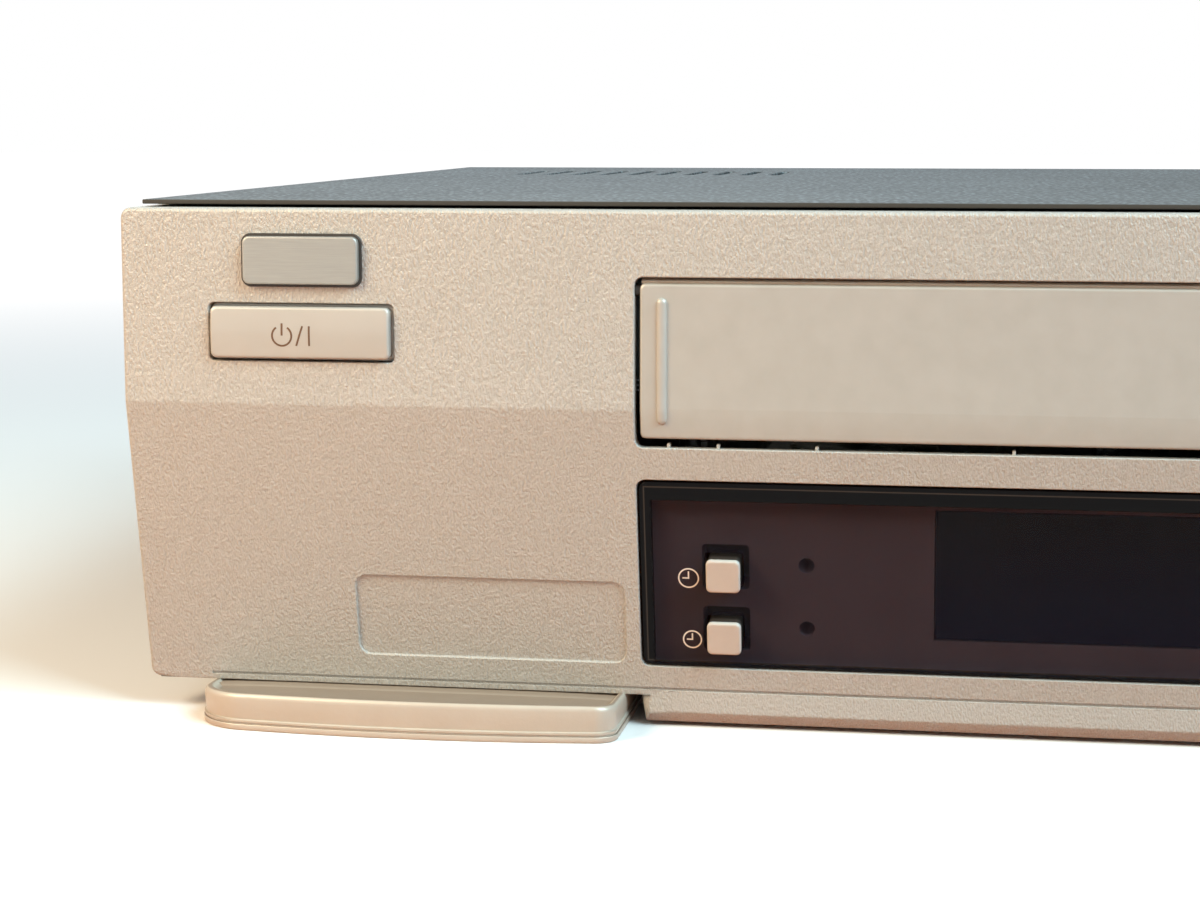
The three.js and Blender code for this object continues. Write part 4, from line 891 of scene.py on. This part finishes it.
# Rear sockets: two 21-pin sockets in black plastic, soldered to the main board and reaching out
# through the rear panel, each with two rows of sprung contacts.
black = grained("black socket plastic", 0.5 * MM, (22, 22, 23), (36, 36, 37), 0.42, 0.15, detail=2,
                relief=0.02 * MM)
contact_metal = grained("tinned contacts", 0.8 * MM, (186, 180, 166), (214, 208, 194), 0.28, 0.12,
                        detail=2, metallic=1.0)
contact_pitch, contact_row, contact_half, contact_tall = 3.8 * MM, 1.9 * MM, 0.35 * MM, 1.1 * MM
contact_side = [(0, 11.9 * MM), (0, 4 * MM), (0.15 * MM, 3.4 * MM)]
for number in (1, 2):
    node = f"scart_socket_{number}"
    middle_x, _, middle_z = middle_of(node)
    side = [(inset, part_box(node)[1].y - FACE - deep) for inset, deep in contact_side]
    eased(node + "_body", node, black, "black_plastic", lambda middle: 0.25 * MM, [(0, middle_x)],
          segments=2)
    spots = [(middle_x + (step - 4.5 + row / 4) * contact_pitch, middle_z + row * contact_row)
             for row in (-1, 1) for step in range(10)]
    piece(f"scart_contacts_{number}", [slab(
        (x - contact_half, x + contact_half, z - contact_tall, z + contact_tall), 0.2 * MM, side, upright,
        steps=2) for x, z in spots], contact_metal, "bright_steel")


# Audio sockets: two nickel-plated sleeves in one black block on the main board, with a white and a
# red plastic collar round them for the left and the right channel.
def ring(at, long, radius, inner, edge=0.25 * MM):
    """A collar that reaches long out of the back, with its outer edge rounded."""
    return turned(at, TO_BACK, [
        (0, inner), (0, radius), (long - edge, radius), (long - 0.3 * edge, radius - 0.3 * edge),
        (long, radius - edge), (long, inner)], hollow=True)


nickel = grained("nickel plate", 2 * MM, (190, 188, 182), (216, 213, 206), 0.18, 0.14, metallic=1.0)
wear(black, "audio_sockets")
phono_x, _, phono_z = middle_of("audio_sockets")
phono_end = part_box("audio_sockets")[1].y
phono_apart, phono_radius, phono_bore = 7 * MM, 4.2 * MM, 3.35 * MM
collar_radius, collar_long, sleeve_start = 6.1 * MM, 1.1 * MM, 1 * MM
core_radius, core_bore, core_long, core_sunk = 3.3 * MM, 1.75 * MM, 0.9 * MM, 1.2 * MM
for name, colour, side in (("white", (226, 224, 216), 1), ("red", (178, 34, 30), -1)):
    collar = grained(name + " collar", 2 * MM, [part * 0.92 for part in colour], colour, 0.35, 0.1)
    z = phono_z + side * phono_apart
    piece(f"audio_collar_{name}", [
        ring((phono_x, rear_face, z), collar_long, collar_radius, phono_radius + 0.05 * MM),
        ring((phono_x, phono_end - core_sunk, z), core_long, core_radius, core_bore)],
        collar, "cream_plastic")
    piece(f"audio_sleeve_{name}", [
        ring((phono_x, rear_face + sleeve_start, z), phono_end - rear_face - sleeve_start,
             phono_radius + 0.03 * MM, phono_bore)], nickel, "bright_steel")


# Tuner: a soldered tinplate can on the main board, with two aerial sockets through the rear panel,
# each with a white insulator and a pin in it.
tinplate = Finish("tinplate")
tin_fine = tinplate.noise(0.4 * MM, 2, (0.1, 1, 1))
tinplate.put({
    "Base Color": tinplate.blend(tinplate.noise(9 * MM, 3), srgb(176, 176, 172), srgb(202, 201, 196)),
    "Metallic": 0.9, "Roughness": 0.25 + tin_fine * 0.2, "Normal": tinplate.bump(tin_fine, 0.006 * MM)})
wear(tinplate, "tuner_module")
insulator = grained("white insulator", 1.5 * MM, (214, 212, 204), (232, 230, 222), 0.4, detail=2)
tuner_low, tuner_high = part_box("tuner_module")
aerial_apart, aerial_up, aerial_deep = 10 * MM, 16.1 * MM, 8.9 * MM
insulator_long, insulator_radius, aerial_pin = 2 * MM, 3.5 * MM, 1.1 * MM
aerials = [(middle_of("tuner_module")[0] + side * aerial_apart, tuner_high.y - aerial_deep,
            tuner_low.z + aerial_up) for side in (-1, 1)]
piece("aerial_insulators", [ring(at, insulator_long, insulator_radius, aerial_pin) for at in aerials],
      insulator, "cream_plastic")
piece("aerial_pins", [
    turned(at, TO_BACK, [(0, aerial_pin), (6.4 * MM, aerial_pin), (7.2 * MM, 0.4 * MM)])
    for at in aerials], nickel, "bright_steel")


# Mains inlet: a black two-pole appliance inlet at the back of the power supply, with two round
# nickel-plated pins in its mouth.
wear(black, "mains_inlet")
inlet_x, _, inlet_z = middle_of("mains_inlet")
inlet_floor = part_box("mains_inlet")[1].y - 12.9 * MM
inlet_apart, inlet_pin = 4.3 * MM, 1.24 * MM
piece("inlet_pins", [
    turned((inlet_x + side * inlet_apart, inlet_floor, inlet_z), TO_BACK, [
        (0, inlet_pin), (8.4 * MM, inlet_pin), (9.1 * MM, 0.7 * MM)]) for side in (-1, 1)],
    nickel, "bright_steel")


# Rear feet: two round blocks of black rubber pressed on to the base pan, with a ring moulded in the
# sole.
rubber = grained("black rubber", 0.7 * MM, (26, 26, 27), (44, 43, 43), 0.75, 0.15, relief=0.05 * MM,
                 others={"Specular IOR Level": 0.25})
for name in ("rear_foot_left", "rear_foot_right"):
    low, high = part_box(name)
    x, y, _ = middle_of(name)
    radius, tall = (high.x - low.x) / 2, high.z - low.z
    piece(name + "_rubber", [turned((x, y, low.z), (0, 0, 1), [
        (0.5 * MM, radius * 0.45), (0.5 * MM, radius * 0.6), (0, radius * 0.66), (0, radius - 0.9 * MM),
        (0.25 * MM, radius - 0.35 * MM), (0.8 * MM, radius), (tall - 0.3 * MM, radius - 0.3 * MM),
        (tall, radius - 0.6 * MM)], sides=48)], rubber, "black_rubber", name)


# Circuit boards: brown phenolic sheets with lacquered tracks, screwed to posts in the base pan and
# behind the front, with dark chips and small parts on them.
def lacquered(name):
    """A circuit board's finish, and the colour of its tracks and of the sheet between them."""
    finish = Finish(name)
    tracks = finish.noise(3 * MM).rise(0.45, 0.55)
    return finish, finish.blend(tracks, srgb(138, 100, 56), srgb(160, 124, 74))


circuit, sheet = lacquered("circuit board")
sheet_top = 13.7 * MM
chips = circuit.blend(circuit.cells(9 * MM), srgb(24, 24, 26), srgb(52, 52, 54))
circuit.put({
    "Base Color": circuit.blend(circuit.along("Z").rise(sheet_top, sheet_top + 0.1 * MM), sheet, chips),
    "Roughness": 0.5})
wear(circuit, "main_board", "power_board")
front_circuit, front_sheet = lacquered("front circuit board")
front_circuit.put({"Base Color": front_sheet, "Roughness": 0.5})
wear(front_circuit, "front_board")


# Power supply: a transformer of stacked sheets round a taped winding, a big smoothing capacitor in a
# shrunk sleeve, and a finned aluminium heat sink, all soldered to the power board.
winding = Finish("transformer")
sheet_wave, core_half = 0.35 / (0.5 * MM), 14.9 * MM
layers = winding.node("ShaderNodeTexWave", {"bands_direction": "Z"}, {
    "Vector": winding.place, "Scale": sheet_wave, "Distortion": 0.0})
core = winding.blend(layers, srgb(62, 60, 58), srgb(104, 101, 97))
outside_core = abs(winding.along("Y") - middle_of("mains_transformer")[1]).rise(
    core_half, core_half + 0.2 * MM)
winding.put({
    "Base Color": winding.blend(outside_core, core, srgb(196, 158, 60)),
    "Metallic": 0.5 - outside_core * 0.5, "Roughness": 0.5})
wear(winding, "mains_transformer")

can_low, can_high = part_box("smoothing_capacitor")
can_x, can_y, _ = middle_of("smoothing_capacitor")
radius, tall = (can_high.x - can_low.x) / 2, can_high.z - can_low.z
sleeve = Finish("capacitor sleeve")
stripe_start = 7.5 * MM
stripe = (sleeve.along("X") - can_x).rise(stripe_start, stripe_start + 0.2 * MM)
sleeve_blue = sleeve.blend(sleeve.noise(4 * MM), srgb(20, 26, 58), srgb(28, 36, 76))
sleeve.put({"Base Color": sleeve.blend(stripe, sleeve_blue, srgb(196, 198, 204)), "Roughness": 0.3})
piece("capacitor_can", [turned((can_x, can_y, can_low.z), (0, 0, 1), [
    (0, radius - 0.6 * MM), (0.6 * MM, radius), (2.6 * MM, radius), (3.2 * MM, radius - 0.7 * MM),
    (3.8 * MM, radius), (tall - 1.0 * MM, radius), (tall - 0.3 * MM, radius - 0.3 * MM),
    (tall, radius - 1.0 * MM), (tall - 0.5 * MM, radius - 1.6 * MM)], sides=48)],
    sleeve, "capacitor_sleeve", "smoothing_capacitor")
alloy = grained("aluminium", 0.3 * MM, (176, 177, 178), (208, 209, 210), 0.3, 0.15,
                stretch=(1, 1, 0.05), metallic=1.0)
wear(alloy, "heat_sink")


# Tape deck: a pressed steel chassis on posts in the base pan, that carries the turned aluminium drum,
# heads, reels, guides and their drive.
def smoothed(node, finish, slot, body=CASE, sharp=24):
    """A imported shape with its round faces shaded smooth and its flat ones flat."""
    made = placed(node + "_smooth", copied(node + "_smooth", node))
    made.data.set_sharp_from_angle(angle=math.radians(sharp))
    flat_faced(made, keep_sharp=True)
    settle(made, finish, slot, node, body=body)


wear(zinc, "deck_chassis", "lift_plate_left", "lift_plate_right", "full_erase_head")
turned_alloy = grained("turned aluminium", 0.12 * MM, (190, 191, 192), (222, 223, 224), 0.16, 0.12,
                       detail=2, stretch=(0.02, 0.02, 1), metallic=1.0)
smoothed("lower_drum", turned_alloy, "turned_aluminium")
smoothed("upper_drum", turned_alloy, "turned_aluminium", "upper_drum")
steel = grained("bright steel", 0.3 * MM, (176, 178, 180), (206, 208, 210), 0.22, 0.12,
                stretch=(0.05, 1, 1), metallic=1.0)
for node in ("capstan", "pinch_arm", "supply_guide_pole", "take_up_guide_pole"):
    smoothed(node, steel, "bright_steel", node)
smoothed("audio_control_head", steel, "bright_steel")
gear_plastic = grained("gear plastic", 3 * MM, (222, 216, 202), (238, 233, 222), 0.38, 0.1, others={
    "Subsurface Weight": 0.05, "Subsurface Radius": (0.002, 0.002, 0.001)})
for node in ("supply_reel", "take_up_reel", "clutch_pulley", "cam_gear"):
    smoothed(node, gear_plastic, "gear_plastic", node)
smoothed("pinch_roller", rubber, "black_rubber", "pinch_roller")
smoothed("drive_belt", rubber, "black_rubber")
motor_shell = grained("motor can", 5 * MM, (150, 152, 153), (184, 186, 187), 0.26, 0.1, metallic=0.9)
smoothed("loading_motor", motor_shell, "motor_can")


# Cassette lift: a bright steel slider between the two lift plates, and on it the zinc-plated cage
# that takes the cassette and sinks with it on to the reels.
wear(steel, "carriage_slider")
wear(zinc, "cassette_holder")
